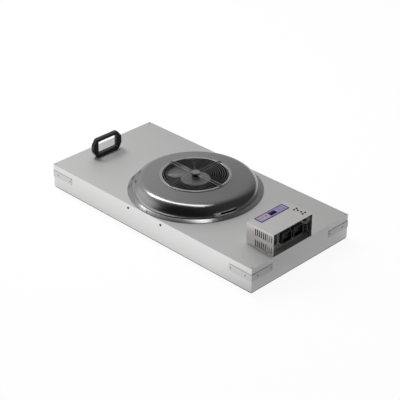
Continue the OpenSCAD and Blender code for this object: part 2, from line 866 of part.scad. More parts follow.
// Bell that turns round the stator, pressed on the shaft by its floor
module rotor_cup() {
    color("dimgray") difference() {
        translate([0, 0, rotor_z]) cylinder(r = rotor_r, h = rotor_top - rotor_z, $fn = 120);
        translate([0, 0, rotor_z + rotor_t]) difference() {
            cylinder(r = magnet_r, h = rotor_top - rotor_z, $fn = 120);
            cylinder(r = shaft_r + boss_wall, h = boss_h);
        }
        translate([0, 0, rotor_z + shaft_foot]) cylinder(r = shaft_r, h = rotor_top - rotor_z);
        at_impeller_screws()
            cylinder(r = wheel_screw[2] + run_gap, h = 4 * rotor_t, center = true, $fn = 32);
    }
}

module rotor_magnets() {
    color("black") translate([0, 0, core_z]) difference() {
        cylinder(r = magnet_r - seat_gap, h = core_h, $fn = 120);
        translate([0, 0, -over])
            cylinder(r = magnet_r - magnet_t, h = core_h + 2 * over, $fn = 120);
    }
}

module at_impeller_screws() {
    for (i = [0:wheel_screws_n - 1]) rotate((i + 0.5) * 360 / wheel_screws_n)
        translate([impeller_screw_r, 0, rotor_z]) children();
}

module impeller_screws() {
    color("silver") at_impeller_screws() translate([0, 0, -back_t]) mirror([0, 0, 1])
        screw(wheel_screw);
}

// Half section of the air passage, from inside the back plate up into the shroud
module passage() {
    difference() {
        translate([wheel_in_r - 2, 0]) square([wheel_r - wheel_in_r + 2, eye_z - rotor_z - 1]);
        translate([bend_x, eye_z - rotor_z]) circle(shroud_bend_r - shroud_t / 2, $fn = 120);
        polygon([[bend_x, eye_z - rotor_z - shroud_bend_r + shroud_t / 2],
                 [wheel_r + over, wheel_exit_h + shroud_t / 2],
                 [wheel_r + over, wheel_r], [bend_x, wheel_r]]);
    }
}

// Curved front ring of the wheel, from its eye to its rim
module shroud() {
    low = eye_z - shroud_bend_r;
    rotate_extrude($fn = 180) {
        difference() {
            translate([bend_x, eye_z]) circle(shroud_bend_r, $fn = 120);
            translate([bend_x, eye_z]) circle(shroud_bend_r - shroud_t, $fn = 120);
            translate([bend_x, 0]) square([wheel_r, 2 * eye_z]);
            translate([0, eye_z]) square([wheel_r, eye_z]);
        }
        polygon([[bend_x, low], [wheel_r, exit_z], [wheel_r, exit_z + shroud_t], [bend_x, low + shroud_t]]);
    }
}

// Blades: circular arcs that leave the eye and the rim at the named angles
module blades() {
    intersection() {
        translate([0, 0, rotor_z - blade_sink]) linear_extrude(eye_z - rotor_z)
            for (i = [0:blade_n - 1]) rotate(i * 360 / blade_n) difference() {
                intersection() {
                    translate([-blade_arc_c, 0]) circle(blade_arc_r + blade_t / 2, $fn = 360);
                    circle(wheel_r - 1, $fn = 180);
                    square(2 * wheel_r);
                }
                translate([-blade_arc_c, 0]) circle(blade_arc_r - blade_t / 2, $fn = 360);
                circle(wheel_in_r, $fn = 180);
            }
        translate([0, 0, rotor_z - blade_sink]) rotate_extrude($fn = 180) passage();
    }
}

module impeller() {
    color("darkgray") difference() {
        union() {
            translate([0, 0, wheel_z]) cylinder(r = wheel_r, h = back_t, $fn = 180);
            translate([0, 0, wheel_z]) difference() {
                cylinder(r = rotor_r + hub_wall, h = back_t + socket_rise, $fn = 120);
                translate([0, 0, back_t]) cylinder(r = rotor_r + fit, h = 2 * socket_rise, $fn = 120);
            }
            shroud();
            blades();
        }
        at_impeller_screws() screw_hole(wheel_screw);
        translate([0, 0, wheel_z]) cylinder(r = hub_bore_r, h = 4 * back_t, center = true, $fn = 48);
    }
}

// ---------------------------------------------------------------- fan cable

// Smooth point between a and b at t, with the neighbours p and q
function bend(p, a, b, q, t) =
    a + 0.5 * t * ((b - p) + t * ((2 * p - 5 * a + 4 * b - q) + t * (3 * (a - b) + q - p)));
function on_route(i, t) =
    bend(route[max(i - 1, 0)], route[i], route[i + 1], route[min(i + 2, len(route) - 1)], t);
function unit(v) = v / norm(v);

// Tube swept along a list of points, with its section kept square to the path
module tube(points, r, sides) {
    n = len(points);
    ring = [for (i = [0:n - 1])
        let (d = unit(points[min(i + 1, n - 1)] - points[max(i - 1, 0)]),
             u = unit(cross(d, abs(d[2]) < 0.9 ? [0, 0, 1] : [0, 1, 0])),
             v = cross(d, u))
        for (k = [0:sides - 1]) points[i] + r * (cos(k * 360 / sides) * u + sin(k * 360 / sides) * v)];
    walls = [for (i = [0:n - 2], k = [0:sides - 1])
        let (a = i * sides, b = a + sides, m = (k + 1) % sides) [a + k, a + m, b + m, b + k]];
    polyhedron(ring, concat([[for (k = [sides - 1:-1:0]) k]], walls,
                            [[for (k = [0:sides - 1]) (n - 1) * sides + k]]));
}

module fan_cable() {
    points = [for (i = [0:len(route) - 2], t = [0, 1 / 3, 2 / 3]) on_route(i, t),
              route[len(route) - 1]];
    color("black") tube(points, cable_r, cable_sides);
}

module at_nozzle_hole() {
    rotate(cable_angle) translate([throat_r, 0, cable_z]) rotate([0, 90, 0]) children();
}

// Rubber ring in a hole of radius r through a sheet of thickness t, its lip above the origin
module grommet(r, t) {
    color("black") difference() {
        union() {
            translate([0, 0, -t]) cylinder(r = r - fit, h = t + grommet_t, $fn = 48);
            cylinder(r = r + grommet_lip, h = grommet_t, $fn = 48);
        }
        cylinder(r = cable_bore_r, h = 4 * (t + grommet_t), center = true, $fn = 32);
    }
}

module nozzle_grommet() {
    at_nozzle_hole() translate([0, 0, nozzle_t + fit]) grommet(grommet_r, nozzle_t + fit);
}

module panel_grommet() {
    translate([panel_grommet_x, panel_grommet_y, body_h]) grommet(panel_grommet_r, sheet);
}

// ---------------------------------------------------------------- control box

// Four-sided cover, open below and toward the end of the module
module control_box() {
    color("darkgray") difference() {
        span([box_x0, box_y0, panel_z], [box_end, box_y0 + box_w, box_top]);
        span([box_x0 + box_t, box_y0 + box_t, panel_z - over],
             [box_end + over, box_y0 + box_w - box_t, box_top - box_t]);
        for (row = vent_rows, i = [0:vent_n - 1])
            translate([vent_x + i * vent_pitch, box_y0, panel_z + row])
                cube([vent_w, 4 * box_t, vent_h], center = true);
        at_top_screws() screw_hole(box_screw);
        translate([0, 0, box_top - 2 * box_t]) linear_extrude(4 * box_t) panel_cutouts();
    }
}

module at_top_screws() {
    for (p = top_screw_xy) translate([box_x0 + p[0], box_y0 + p[1], box_top]) children();
}

// Outline of the holes for the display and the lamps
module panel_cutouts() {
    translate([display_x, display_y]) square([display_l + 2 * fit, display_w + 2 * fit], center = true);
    for (y = lamp_y) translate([lamp_x, y]) circle(lamp_r + fit, $fn = 32);
}

module box_top_screws() {
    color("black") at_top_screws() screw(box_screw);
}

module key_label() {
    color("plum") translate([0, 0, box_top]) linear_extrude(label_t) difference() {
        translate([label_x + label_l / 2, label_y + label_w / 2])
            rounded(label_l, label_w, label_corner);
        panel_cutouts();
    }
}

// Window through the label and the box, with a rim below the sheet
module display_window() {
    rim_z = box_top - box_t - fit / 2 - display_rim;
    color("midnightblue") translate([display_x, display_y, rim_z]) {
        linear_extrude(box_top + label_t + display_proud - rim_z) rounded(display_l, display_w, 1);
        linear_extrude(display_rim)
            rounded(display_l + 2 * display_rim, display_w + 2 * display_rim, 1);
    }
}

module status_lamps() {
    rim_z = box_top - box_t - fit / 2 - lamp_rim;
    color("orange") for (y = lamp_y) translate([lamp_x, y, rim_z]) {
        cylinder(r = lamp_r, h = box_top + label_t + lamp_proud - rim_z, $fn = 32);
        cylinder(r = lamp_r + lamp_rim, h = lamp_rim, $fn = 32);
    }
}

module on_plate(p) {
    translate([plate_x + plate_t, p[0], panel_z + p[1]]) rotate([90, 0, 90]) children();
}

// Upright plate with flanges folded back along its foot and both sides
module connector_plate() {
    y0 = box_y0 + box_t + fit;
    y1 = box_y0 + box_w - box_t - fit;
    back = plate_x - plate_flange;
    front = plate_x + plate_t;
    top = box_top - box_t - fit;
    color("gray") difference() {
        union() {
            span([plate_x, y0, panel_z], [front, y1, top]);
            span([back, y0, panel_z], [front, y1, panel_z + plate_t]);
            span([back, y0, panel_z], [front, y0 + plate_t, top]);
            span([back, y1 - plate_t, panel_z], [front, y1, top]);
        }
        for (p = [inlet_at, outlet_at, data_at, switch_at]) on_plate(p)
            cube([p[2] - 2 * bezel, p[3] - 2 * bezel, 4 * plate_t], center = true);
        on_plate(fuse_at) cylinder(r = fuse_at[2] - bezel, h = 4 * plate_t, center = true, $fn = 48);
        at_plate_screws() screw_hole(plate_screw);
    }
}

module at_plate_screws() {
    for (y = plate_screw_y, z = plate_screw_z) on_plate([y, z]) children();
}

module plate_screws() {
    color("silver") at_plate_screws() screw(plate_screw);
}

// Body of a rectangular fitting behind the plate
module fitting_body(p, back = body_back) {
    translate([0, 0, -back]) linear_extrude(back + 1)
        square([p[2] - 2 * (bezel + fit), p[3] - 2 * (bezel + fit)], center = true);
}

module at_contacts() {
    for (i = [-1, 0, 1])
        translate([i * contact_pitch, i == 0 ? contact_rise : -contact_rise, -contact_rise]) children();
}

// Panel socket: a flange on the plate, a body behind it and three contact wells
module power_socket(p) {
    color("black") on_plate(p) difference() {
        union() {
            linear_extrude(socket_out) rounded(p[2], p[3], socket_wall);
            fitting_body(p);
        }
        translate([0, 0, socket_wall]) linear_extrude(socket_out)
            rounded(p[2] - 2 * socket_wall, p[3] - 2 * socket_wall, socket_wall - 1);
        at_contacts() cylinder(r = contact_well_r, h = 2 * socket_out, $fn = 32);
    }
}

module power_inlet() {
    power_socket(inlet_at);
    color("silver") on_plate(inlet_at) at_contacts()
        translate([0, 0, -over]) cylinder(r = contact_pin_r, h = socket_out + over, $fn = 24);
}

module power_outlet() {
    power_socket(outlet_at);
}

// Two stacked jacks with the notch of their latch
module data_ports() {
    p = data_at;
    color("black") on_plate(p) difference() {
        union() {
            linear_extrude(port_out) square([p[2], p[3]], center = true);
            fitting_body(p);
        }
        for (s = [-1, 1]) translate([0, s * port_pitch / 2, port_out / 2]) {
            cube([13, 9, 2 * port_out], center = true);
            translate([0, 5, 0]) cube([6, 5, 2 * port_out], center = true);
        }
    }
}

// Fuse holder with a screwdriver slot across its knob
module fuse_holder() {
    r = fuse_at[2];
    collar_h = 3;
    knob_h = 9;
    color("black") on_plate(fuse_at) difference() {
        union() {
            cylinder(r = r, h = collar_h, $fn = 48);
            cylinder(r = r - bezel, h = knob_h, $fn = 48);
            translate([0, 0, -body_back])
                cylinder(r = r - bezel - fit, h = body_back + collar_h, $fn = 48);
        }
        translate([0, 0, knob_h]) cube([r, box_t, collar_h], center = true);
    }
}

// Frame of the rocker switch, with the pocket and the bearings of its pin
module switch_frame() {
    p = switch_at;
    bezel_h = pin_depth + 5;
    pocket_z = -3;
    color("black") on_plate(p) difference() {
        union() {
            linear_extrude(bezel_h) rounded(p[2], p[3], bezel);
            fitting_body(p);
        }
        translate([0, 0, pocket_z]) linear_extrude(2 * bezel_h)
            square([rocker_w + 1, rocker_l + 3], center = true);
        translate([0, 0, pin_depth]) rotate([0, 90, 0])
            cylinder(r = rocker_pin_r + run_gap, h = rocker_w + 5, center = true, $fn = 32);
    }
}

// Rocker with a dished face, pressed at its lower end
module power_rocker() {
    l = rocker_l / 2;
    color("red") on_plate(switch_at) translate([0, 0, pin_depth]) rotate([-rocker_tilt, 0, 0]) {
        rotate([0, 90, 0]) cylinder(r = rocker_pin_r, h = rocker_w + 4, center = true, $fn = 32);
        translate([-rocker_w / 2, 0, 0]) rotate([90, 0, 90]) linear_extrude(rocker_w) difference() {
            polygon([[-l, 0], [l, 0], [l - 0.5, rocker_h], [0.5 - l, rocker_h]]);
            translate([0, rocker_dish_r + rocker_h - 2.5]) circle(rocker_dish_r);
        }
    }
}

// Board with a row of capacitors along its near edge
module control_board() {
    c = ctrl_part;
    color("darkgreen") {
        span([ctrl_x[0], ctrl_y[0], ctrl_z], [ctrl_x[1], ctrl_y[1], ctrl_z + board_t]);
        for (i = [0:3]) translate([box_x0 + c[0], box_y0 + c[1] + i * c[2], ctrl_z + board_t / 2])
            cylinder(r = c[3], h = c[4], $fn = 32);
    }
}

module board_standoffs() {
    color("gold") for (x = [ctrl_x[0] + 4, ctrl_x[1] - 4], y = [ctrl_y[0] + 4, ctrl_y[1] - 4])
        translate([x, y, panel_z]) cylinder(r = standoff_r, h = standoff_h, $fn = 6);
}

module supply_module() {
    z = ctrl_z + board_t;
    color("silver")
        span([ctrl_x[0] + 10, ctrl_y[1] - 76, z], [ctrl_x[1] - 4, ctrl_y[1] - 16, z + supply_h]);
}

// ---------------------------------------------------------------- handle

// Corner points of the handle's outline, middle of the bar, from the lower right round
function handle_points() =
    let (w = handle_w / 2 - handle_bar_d / 2, lo = handle_bar_d / 2,
         hi = handle_h - handle_bar_d / 2, cw = handle_cut_w, ch = handle_cut_h)
    [[w - cw, lo], [w, lo + ch], [w, hi - ch], [w - cw, hi],
     [cw - w, hi], [-w, hi - ch], [-w, lo + ch], [cw - w, lo]];

// Moulded loop: a slab with round edges and a finger window, on a flat foot
module handle() {
    color([0.1, 0.1, 0.1]) translate([handle_x, handle_y, panel_z]) difference() {
        rotate([90, 0, 90]) union() {
            hull() for (p = handle_points())
                translate([p[0], p[1], 0]) sphere(handle_bar_d / 2, $fn = 32);
            span([-handle_w / 2 + handle_cut_w + 4, 0, -handle_bar_d / 2],
                 [handle_w / 2 - handle_cut_w - 4, handle_bar_d / 2, handle_bar_d / 2]);
        }
        rotate([90, 0, 90]) translate([0, handle_h / 2 + window_rise, -handle_bar_d])
            linear_extrude(2 * handle_bar_d) rounded(window_w, window_h, window_corner);
        for (s = [-1, 1]) translate([0, s * handle_screw_y, -over])
            cylinder(r = handle_screw[2] + run_gap, h = handle_bore_l, $fn = 32);
    }
}

module at_handle_screws() {
    for (s = [-1, 1]) translate([handle_x, handle_y + s * handle_screw_y, body_h]) children();
}

// Screws driven from under the panel into the handle's foot
module handle_screws() {
    color("dimgray") at_handle_screws() translate([0, 0, -sheet]) mirror([0, 0, 1])
        screw(handle_screw);
}

// ---------------------------------------------------------------- assembly

wall_frame();
top_cover();
corner_strap(0);  // corner_strap_1
corner_strap(1);  // corner_strap_2
corner_strap(2);  // corner_strap_3
corner_strap(3);  // corner_strap_4
strap_rivets();
corner_rivets();
cover_screws();
grid_gasket();
filter_seal();
filter_frame();
filter_media();
face_guard();
equaliser_plate();
filter_clamps();
clamp_nuts();
inlet_dome();
inlet_nozzle();
dome_screws();
inlet_guard();
guard_feet_screws();
guard_post();
guard_cap();
motor_casting();
stator_core();
bearing(bearing_high_z);  // bearing_upper
bearing(bearing_low_z);  // bearing_lower
electronics_cover();
drive_board();
fan_shaft();
rotor_cup();
rotor_magnets();
impeller();
impeller_screws();
fan_cable();
nozzle_grommet();
panel_grommet();
control_box();
connector_plate();
plate_screws();
box_top_screws();
key_label();
display_window();
status_lamps();
control_board();
board_standoffs();
supply_module();
power_inlet();
power_outlet();
data_ports();
fuse_holder();
switch_frame();
power_rocker();
handle();
handle_screws();
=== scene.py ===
"""Looks of the fan filter unit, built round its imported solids.

Sizes are in millimetres in the classes and become metres when a mesh is made.
+Z is up, X runs along the module, and the fan's axis is the Z axis.
"""

import json
import logging
import math
from dataclasses import dataclass
from enum import Enum

import bmesh
import bpy
import numpy as np
from mathutils import Matrix, Vector

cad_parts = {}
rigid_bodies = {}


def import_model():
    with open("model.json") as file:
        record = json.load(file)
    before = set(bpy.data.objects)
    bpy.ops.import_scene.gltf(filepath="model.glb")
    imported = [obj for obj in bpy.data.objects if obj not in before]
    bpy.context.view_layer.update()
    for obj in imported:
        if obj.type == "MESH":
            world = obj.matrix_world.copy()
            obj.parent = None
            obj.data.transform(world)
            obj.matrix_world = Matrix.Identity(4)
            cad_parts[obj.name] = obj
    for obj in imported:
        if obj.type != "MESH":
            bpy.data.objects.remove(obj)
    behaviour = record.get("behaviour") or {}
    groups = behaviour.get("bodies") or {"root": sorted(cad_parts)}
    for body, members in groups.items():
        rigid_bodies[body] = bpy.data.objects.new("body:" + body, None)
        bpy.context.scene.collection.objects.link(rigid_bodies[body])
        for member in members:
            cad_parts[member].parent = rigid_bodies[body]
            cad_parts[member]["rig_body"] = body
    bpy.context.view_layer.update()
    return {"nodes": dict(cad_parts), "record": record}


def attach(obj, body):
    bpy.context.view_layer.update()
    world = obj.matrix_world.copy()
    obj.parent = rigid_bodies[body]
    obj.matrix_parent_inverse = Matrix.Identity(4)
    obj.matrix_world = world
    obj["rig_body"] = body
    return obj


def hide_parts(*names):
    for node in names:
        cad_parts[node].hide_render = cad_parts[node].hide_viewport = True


LOG = logging.getLogger("fan_filter_unit")
MM = 0.001
WELD = 1e-6  # points closer than this, in metres, become one
SHARP = 35.0  # edges sharper than this stay sharp, in degrees
UNIT, FAN = "unit", "fan"
Colour = tuple[float, float, float]
Point = tuple[float, float, float]
Flat = tuple[float, float]
Socket = bpy.types.NodeSocket

# The faces that several pieces stand on: five heights and one X.
PANEL_Z = 112.0
LIP_TOP = 181.96
SPOKE_Z = 184.16
BOX_TOP = 208.0
LABEL_TOP = 208.8
PLATE_FRONT = 557.0


class Grain(Enum):
    """How the fine structure of a finish lies."""

    BRUSHED = "scratches along the sheet"
    SPUN = "rings about the fan's axis"
    CAST = "pebbled die-cast skin"
    MOULDED = "fine eroded texture"
    FOAM = "closed cells"
    FLEECE = "matted fibres"
    PAINTED = "faint orange peel"
    WOUND = "turns of lacquered wire"
    PLAIN = "polished, with slight unevenness"


# How many times longer than wide the features of a grain are.
STRETCH = {Grain.BRUSHED: 60, Grain.SPUN: 90, Grain.WOUND: 8, Grain.FLEECE: 5}
DETAIL = {Grain.CAST: 4.0, Grain.MOULDED: 2.0}
BROAD_SCALE = 9.0  # slow changes of tone, for each metre
FACING = 0.7  # a normal's part above which a face looks that way
COAT_ROUGHNESS = 0.08


@dataclass(frozen=True)
class Finish:
    """One surface finish, named after the record's material slot.

    Args:
        slot: the record's material slot.
        colour: linear base colour.
        grain: how the fine structure lies.
        metallic: 0 for paint and plastic, 1 for bare metal.
        roughness: middle of the roughness range.
        size: distance between features, in millimetres.
        depth: height of the relief, in millimetres.
        spread: share by which colour and roughness vary.
        coat: weight of a clear coat.
        role: a second use of the same slot, with a look of its own.
        shine: specular level, 0.5 for most paints and plastics.
        flat_rough: roughness added on faces that look up.
    """

    slot: str
    colour: Colour
    grain: Grain = Grain.PLAIN
    metallic: float = 0.0
    roughness: float = 0.5
    size: float = 1.0
    depth: float = 0.01
    spread: float = 0.08
    coat: float = 0.0
    role: str = ""
    shine: float = 0.5
    flat_rough: float = 0.0

    @property
    def key(self) -> str:
        """The name that pieces ask for: the role, or else the slot."""
        return self.role or self.slot

    def material(self) -> bpy.types.Material:
        """The finish's material, made once and then shared."""
        name = f"{self.key}_finish"
        return bpy.data.materials.get(name) or self._build(name)

    def _build(self, name: str) -> bpy.types.Material:
        """Builds the material: fine grain drives colour, roughness and relief.

        Args:
            name: the material's name.
        Returns:
            The new material.
        """
        material = bpy.data.materials.new(name)
        graph = Graph(material)
        fine = self._fine(graph)
        broad = graph.noise(graph.scaled(BROAD_SCALE), 2.0)
        mixed = graph.math("MULTIPLY_ADD", broad, 0.5, graph.math("MULTIPLY", fine, 0.5))
        dark = tuple(c * (1 - self.spread) for c in self.colour)
        light = tuple(min(c * (1 + self.spread), 1.0) for c in self.colour)
        vary, least = 2 * self.spread * self.roughness, self.roughness * (1 - self.spread)
        rough = graph.math("MULTIPLY_ADD", mixed, vary, least)
        if self.flat_rough:
            upward = graph.math("GREATER_THAN", graph.normal(2), FACING)
            rough = graph.math("MULTIPLY_ADD", upward, self.flat_rough, rough)
        looks = {
            "Base Color": graph.mix(mixed, dark, light), "Roughness": rough,
            "Normal": graph.bump(fine, self.depth * MM), "Metallic": self.metallic,
            "Specular IOR Level": self.shine, "Coat Weight": self.coat,
            "Coat Roughness": COAT_ROUGHNESS,
        }
        for key, value in looks.items():
            graph.put(graph.tree.nodes["Principled BSDF"].inputs[key], value)
        return material

    def _fine(self, graph: "Graph") -> Socket:
        """The fine pattern, from 0 to 1, on Object coordinates.

        Args:
            graph: the material's graph.
        Returns:
            The pattern's output socket.
        """
        step = 1 / (self.size * MM)
        long = step / STRETCH.get(self.grain, 1)
        if self.grain is Grain.BRUSHED:
            along_x = graph.noise(graph.scaled((long, step, step)), 3.0)
            along_y = graph.noise(graph.scaled((step, long, step)), 3.0)
            on_end = graph.math("GREATER_THAN", graph.math("ABSOLUTE", graph.normal(0)), FACING)
            return graph.mix_value(on_end, along_x, along_y)
        if self.grain is Grain.SPUN:
            return graph.noise(graph.rings(step, long), 3.0)
        if self.grain is Grain.WOUND:
            return graph.noise(graph.rings(long, step), 2.0)
        if self.grain is Grain.FOAM:
            return graph.cells(graph.scaled(step))
        if self.grain is Grain.FLEECE:
            return graph.noise(graph.scaled((step, long, step)), 5.0)
        return graph.noise(graph.scaled(step), DETAIL.get(self.grain, 1.0))


class Graph:
    """A small wrapper that adds nodes to a material or to the world."""

    def __init__(self, owner: bpy.types.Material | bpy.types.World, space: str = "Object") -> None:
        """Starts on the owner's tree, with one kind of coordinates."""
        owner.use_nodes = True
        self.tree = owner.node_tree
        self.place = self.new("TexCoord").outputs[space]

    def new(self, kind: str) -> bpy.types.Node:
        """A new node, by its type without the prefix."""
        return self.tree.nodes.new(f"ShaderNode{kind}")

    def make(self, kind: str, output: str | int, inputs: dict[str | int, object]) -> Socket:
        """One output of a new node, with the given inputs linked or set."""
        node = self.new(kind)
        for key, value in inputs.items():
            self.put(node.inputs[key], value)
        return node.outputs[output]

    def link(self, source: Socket, target: Socket) -> None:
        """Joins two sockets."""
        self.tree.links.new(source, target)

    def put(self, target: Socket, value: object) -> None:
        """Links a socket, or sets a number or a colour, on the target."""
        if isinstance(value, Socket):
            self.link(value, target)
        elif isinstance(value, tuple) and len(target.default_value) == 4:
            target.default_value = (*value, 1.0)
        else:
            target.default_value = value

    def scaled(self, scale: float | Point) -> Socket:
        """The coordinates times a scale."""
        scale = scale if isinstance(scale, tuple) else (scale,) * 3
        return self.make("Mapping", "Vector", {"Vector": self.place, "Scale": scale})

    def parts(self, source: Socket) -> list[Socket]:
        """The three parts of a vector."""
        node = self.new("SeparateXYZ")
        self.link(source, node.inputs[0])
        return list(node.outputs)

    def rings(self, across: float, along: float) -> Socket:
        """Coordinates that follow circles about Z.

        The first is the radius times across, the second the sum of the two
        flat coordinates times along, and the third the height times across.
        """
        x, y, z = self.parts(self.place)
        flat = self.math("MULTIPLY_ADD", x, x, self.math("MULTIPLY", y, y))
        radius = self.math("MULTIPLY", self.math("SQRT", flat), across)
        around = self.math("MULTIPLY", self.math("ADD", x, y), along)
        height = self.math("MULTIPLY", z, across)
        return self.make("CombineXYZ", 0, {0: radius, 1: around, 2: height})

    def normal(self, axis: int) -> Socket:
        """One part of the surface's normal, in Object coordinates."""
        return self.parts(self.new("TexCoord").outputs["Normal"])[axis]

    def toward(self, aim: Point) -> Socket:
        """The cosine of the angle between the coordinates and a direction."""
        node = self.new("VectorMath")
        node.operation = "DOT_PRODUCT"
        self.link(self.place, node.inputs[0])
        node.inputs[1].default_value = Vector(aim).normalized()
        return node.outputs["Value"]

    def math(self, kind: str, *values: object) -> Socket:
        """The result of a Math node."""
        node = self.new("Math")
        node.operation = kind
        for target, value in zip(node.inputs, values):
            self.put(target, value)
        return node.outputs[0]

    def ranged(self, value: Socket, limits: tuple[float, ...], kind: str = "LINEAR") -> Socket:
        """A number carried from one range to another.

        Args:
            value: the number.
            limits: the two ends of its range, and what each becomes.
            kind: the interpolation between them.
        Returns:
            The output socket.
        """
        node = self.new("MapRange")
        node.interpolation_type = kind
        for target, number in zip(node.inputs, (value, *limits)):
            self.put(target, number)
        return node.outputs[0]

    def noise(self, place: Socket, detail: float) -> Socket:
        """A noise of scale 1 at the given place."""
        return self.make("TexNoise", "Fac", {"Vector": place, "Scale": 1.0, "Detail": detail})

    def cells(self, place: Socket) -> Socket:
        """The distance to the nearest cell's centre."""
        return self.make("TexVoronoi", "Distance", {"Vector": place, "Scale": 1.0})

    def mix(self, factor: Socket, low: object, high: object) -> Socket:
        """A colour between two, by a factor."""
        node = self.new("Mix")
        node.data_type = "RGBA"
        for key, value in (("Factor", factor), (6, low), (7, high)):
            self.put(node.inputs[key], value)
        return node.outputs[2]

    def mix_value(self, factor: Socket, low: object, high: object) -> Socket:
        """A number between two, by a factor."""
        return self.make("Mix", 0, {"Factor": factor, 2: low, 3: high})

    def bump(self, height: Socket, distance: float) -> Socket:
        """A normal bent by the height, whose full range is the distance in metres."""
        return self.make("Bump", "Normal", {"Distance": distance, "Height": height})


FINISH_TABLE = (
    Finish("sheet_steel", (0.79, 0.788, 0.785), Grain.BRUSHED, 1.0, 0.42, 0.35, 0.002, 0.05,
           flat_rough=0.22),
    Finish("strap_steel", (0.7, 0.692, 0.688), Grain.BRUSHED, 1.0, 0.46, 0.35, 0.002, 0.06),
    Finish("fastener_steel", (0.3, 0.3, 0.31), Grain.PLAIN, 1.0, 0.32, 1.2, 0.004, 0.08),
    Finish("fastener_steel", (0.015, 0.015, 0.016), Grain.PLAIN, 0.0, 0.5, 1.2, 0.004, 0.1,
           role="black_screw", shine=0.15),
    Finish("gasket_foam", (0.035, 0.035, 0.036), Grain.FOAM, 0.0, 0.9, 0.9, 0.12, 0.3),
    Finish("seal_foam", (0.78, 0.78, 0.76), Grain.FOAM, 0.0, 0.85, 0.8, 0.1, 0.08),
    Finish("filter_aluminium", (0.72, 0.72, 0.73), Grain.BRUSHED, 1.0, 0.36, 0.5, 0.003, 0.06),
    Finish("filter_paper", (0.86, 0.86, 0.83), Grain.FLEECE, 0.0, 0.92, 0.4, 0.05, 0.06),
    Finish("guard_white", (0.82, 0.82, 0.81), Grain.PAINTED, 0.0, 0.42, 1.6, 0.012, 0.03),
    Finish("plate_aluminium", (0.72, 0.73, 0.74), Grain.BRUSHED, 1.0, 0.32, 0.5, 0.003, 0.06),
    Finish("dome_metal", (0.34, 0.34, 0.342), Grain.SPUN, 1.0, 0.2, 0.8, 0.0012, 0.04),
    # Painted shade: the throat's finish is near black with almost no shine, standing in for the
    # shade inside the inlet; the lip_metal role below keeps the metal's own tone.
    Finish("nozzle_metal", (0.005, 0.005, 0.005), Grain.SPUN, 0.0, 0.6, 0.6, 0.002, 0.08,
           shine=0.05),
    Finish("nozzle_metal", (0.5, 0.5, 0.505), Grain.SPUN, 1.0, 0.26, 0.6, 0.002, 0.06,
           role="lip_metal"),
    Finish("guard_wire", (0.4, 0.4, 0.402), Grain.PLAIN, 1.0, 0.3, 1.5, 0.002, 0.06),
    Finish("post_black", (0.02, 0.02, 0.02), Grain.MOULDED, 0.0, 0.35, 0.8, 0.01, 0.15),
    Finish("cap_metal", (0.34, 0.34, 0.342), Grain.PLAIN, 1.0, 0.4, 0.8, 0.003, 0.06),
    Finish("motor_aluminium", (0.38, 0.38, 0.38), Grain.CAST, 0.6, 0.5, 1.6, 0.06, 0.3),
    Finish("board_green", (0.02, 0.12, 0.05), Grain.PAINTED, 0.0, 0.3, 2.0, 0.02, 0.2),
    Finish("stator_iron", (0.42, 0.2, 0.09), Grain.WOUND, 0.6, 0.35, 0.6, 0.12, 0.25),
    Finish("bearing_steel", (0.66, 0.66, 0.68), Grain.SPUN, 1.0, 0.12, 0.5, 0.001, 0.04),
    Finish("shaft_steel", (0.6, 0.6, 0.61), Grain.SPUN, 1.0, 0.2, 0.4, 0.002, 0.05),
    Finish("rotor_black", (0.012, 0.012, 0.012), Grain.SPUN, 0.0, 0.5, 0.8, 0.004, 0.12),
    Finish("magnet_grey", (0.07, 0.07, 0.075), Grain.CAST, 0.5, 0.5, 0.8, 0.02, 0.12),
    # Painted shade: the wheel is near black with almost no shine, standing in for the shade under
    # the dome rather than the aluminium's own tone.
    Finish("wheel_aluminium", (0.005, 0.005, 0.005), Grain.SPUN, 0.0, 0.6, 0.8, 0.003, 0.08,
           shine=0.05),
    Finish("cable_black", (0.018, 0.018, 0.019), Grain.MOULDED, 0.0, 0.5, 0.8, 0.01, 0.15),
    Finish("box_steel", (0.84, 0.82, 0.81), Grain.BRUSHED, 1.0, 0.3, 0.5, 0.003, 0.04,
           flat_rough=0.15),
    Finish("plate_grey", (0.75, 0.74, 0.73), Grain.PAINTED, 0.0, 0.4, 1.2, 0.01, 0.08),
    Finish("label_lilac", (0.72, 0.6, 0.95), Grain.PLAIN, 0.0, 0.4, 3.0, 0.004, 0.03),
    Finish("label_lilac", (0.07, 0.03, 0.3), Grain.PLAIN, 0.0, 0.5, 3.0, 0.002, 0.05,
           role="print_violet", shine=0.15),
    Finish("label_lilac", (0.25, 0.17, 0.45), Grain.PLAIN, 0.0, 0.5, 3.0, 0.002, 0.05,
           role="print_keys", shine=0.2),
    Finish("label_lilac", (0.85, 0.72, 0.92), Grain.PLAIN, 0.0, 0.3, 3.0, 0.002, 0.04,
           role="print_pale"),
    Finish("display_navy", (0.004, 0.005, 0.06), Grain.PLAIN, 0.0, 0.3, 3.0, 0.001, 0.05,
           shine=0.1),
    Finish("lamp_amber", (0.95, 0.46, 0.06), Grain.PLAIN, 0.0, 0.2, 2.0, 0.002, 0.05, 0.5),
    Finish("lamp_amber", (0.8, 0.09, 0.14), Grain.PLAIN, 0.0, 0.2, 2.0, 0.002, 0.05, 0.5,
           role="lamp_red"),
    Finish("standoff_brass", (0.55, 0.38, 0.14), Grain.BRUSHED, 1.0, 0.28, 0.5, 0.003, 0.08),
    Finish("supply_aluminium", (0.66, 0.67, 0.68), Grain.BRUSHED, 1.0, 0.34, 0.6, 0.003, 0.06),
    Finish("fitting_black", (0.02, 0.02, 0.021), Grain.MOULDED, 0.0, 0.42, 0.7, 0.015, 0.15),
    Finish("rocker_black", (0.018, 0.018, 0.019), Grain.PLAIN, 0.0, 0.22, 1.0, 0.003, 0.1, 0.2),
    Finish("handle_black", (0.02, 0.02, 0.021), Grain.MOULDED, 0.0, 0.4, 0.6, 0.02, 0.15),
)
FINISHES = {finish.key: finish for finish in FINISH_TABLE}


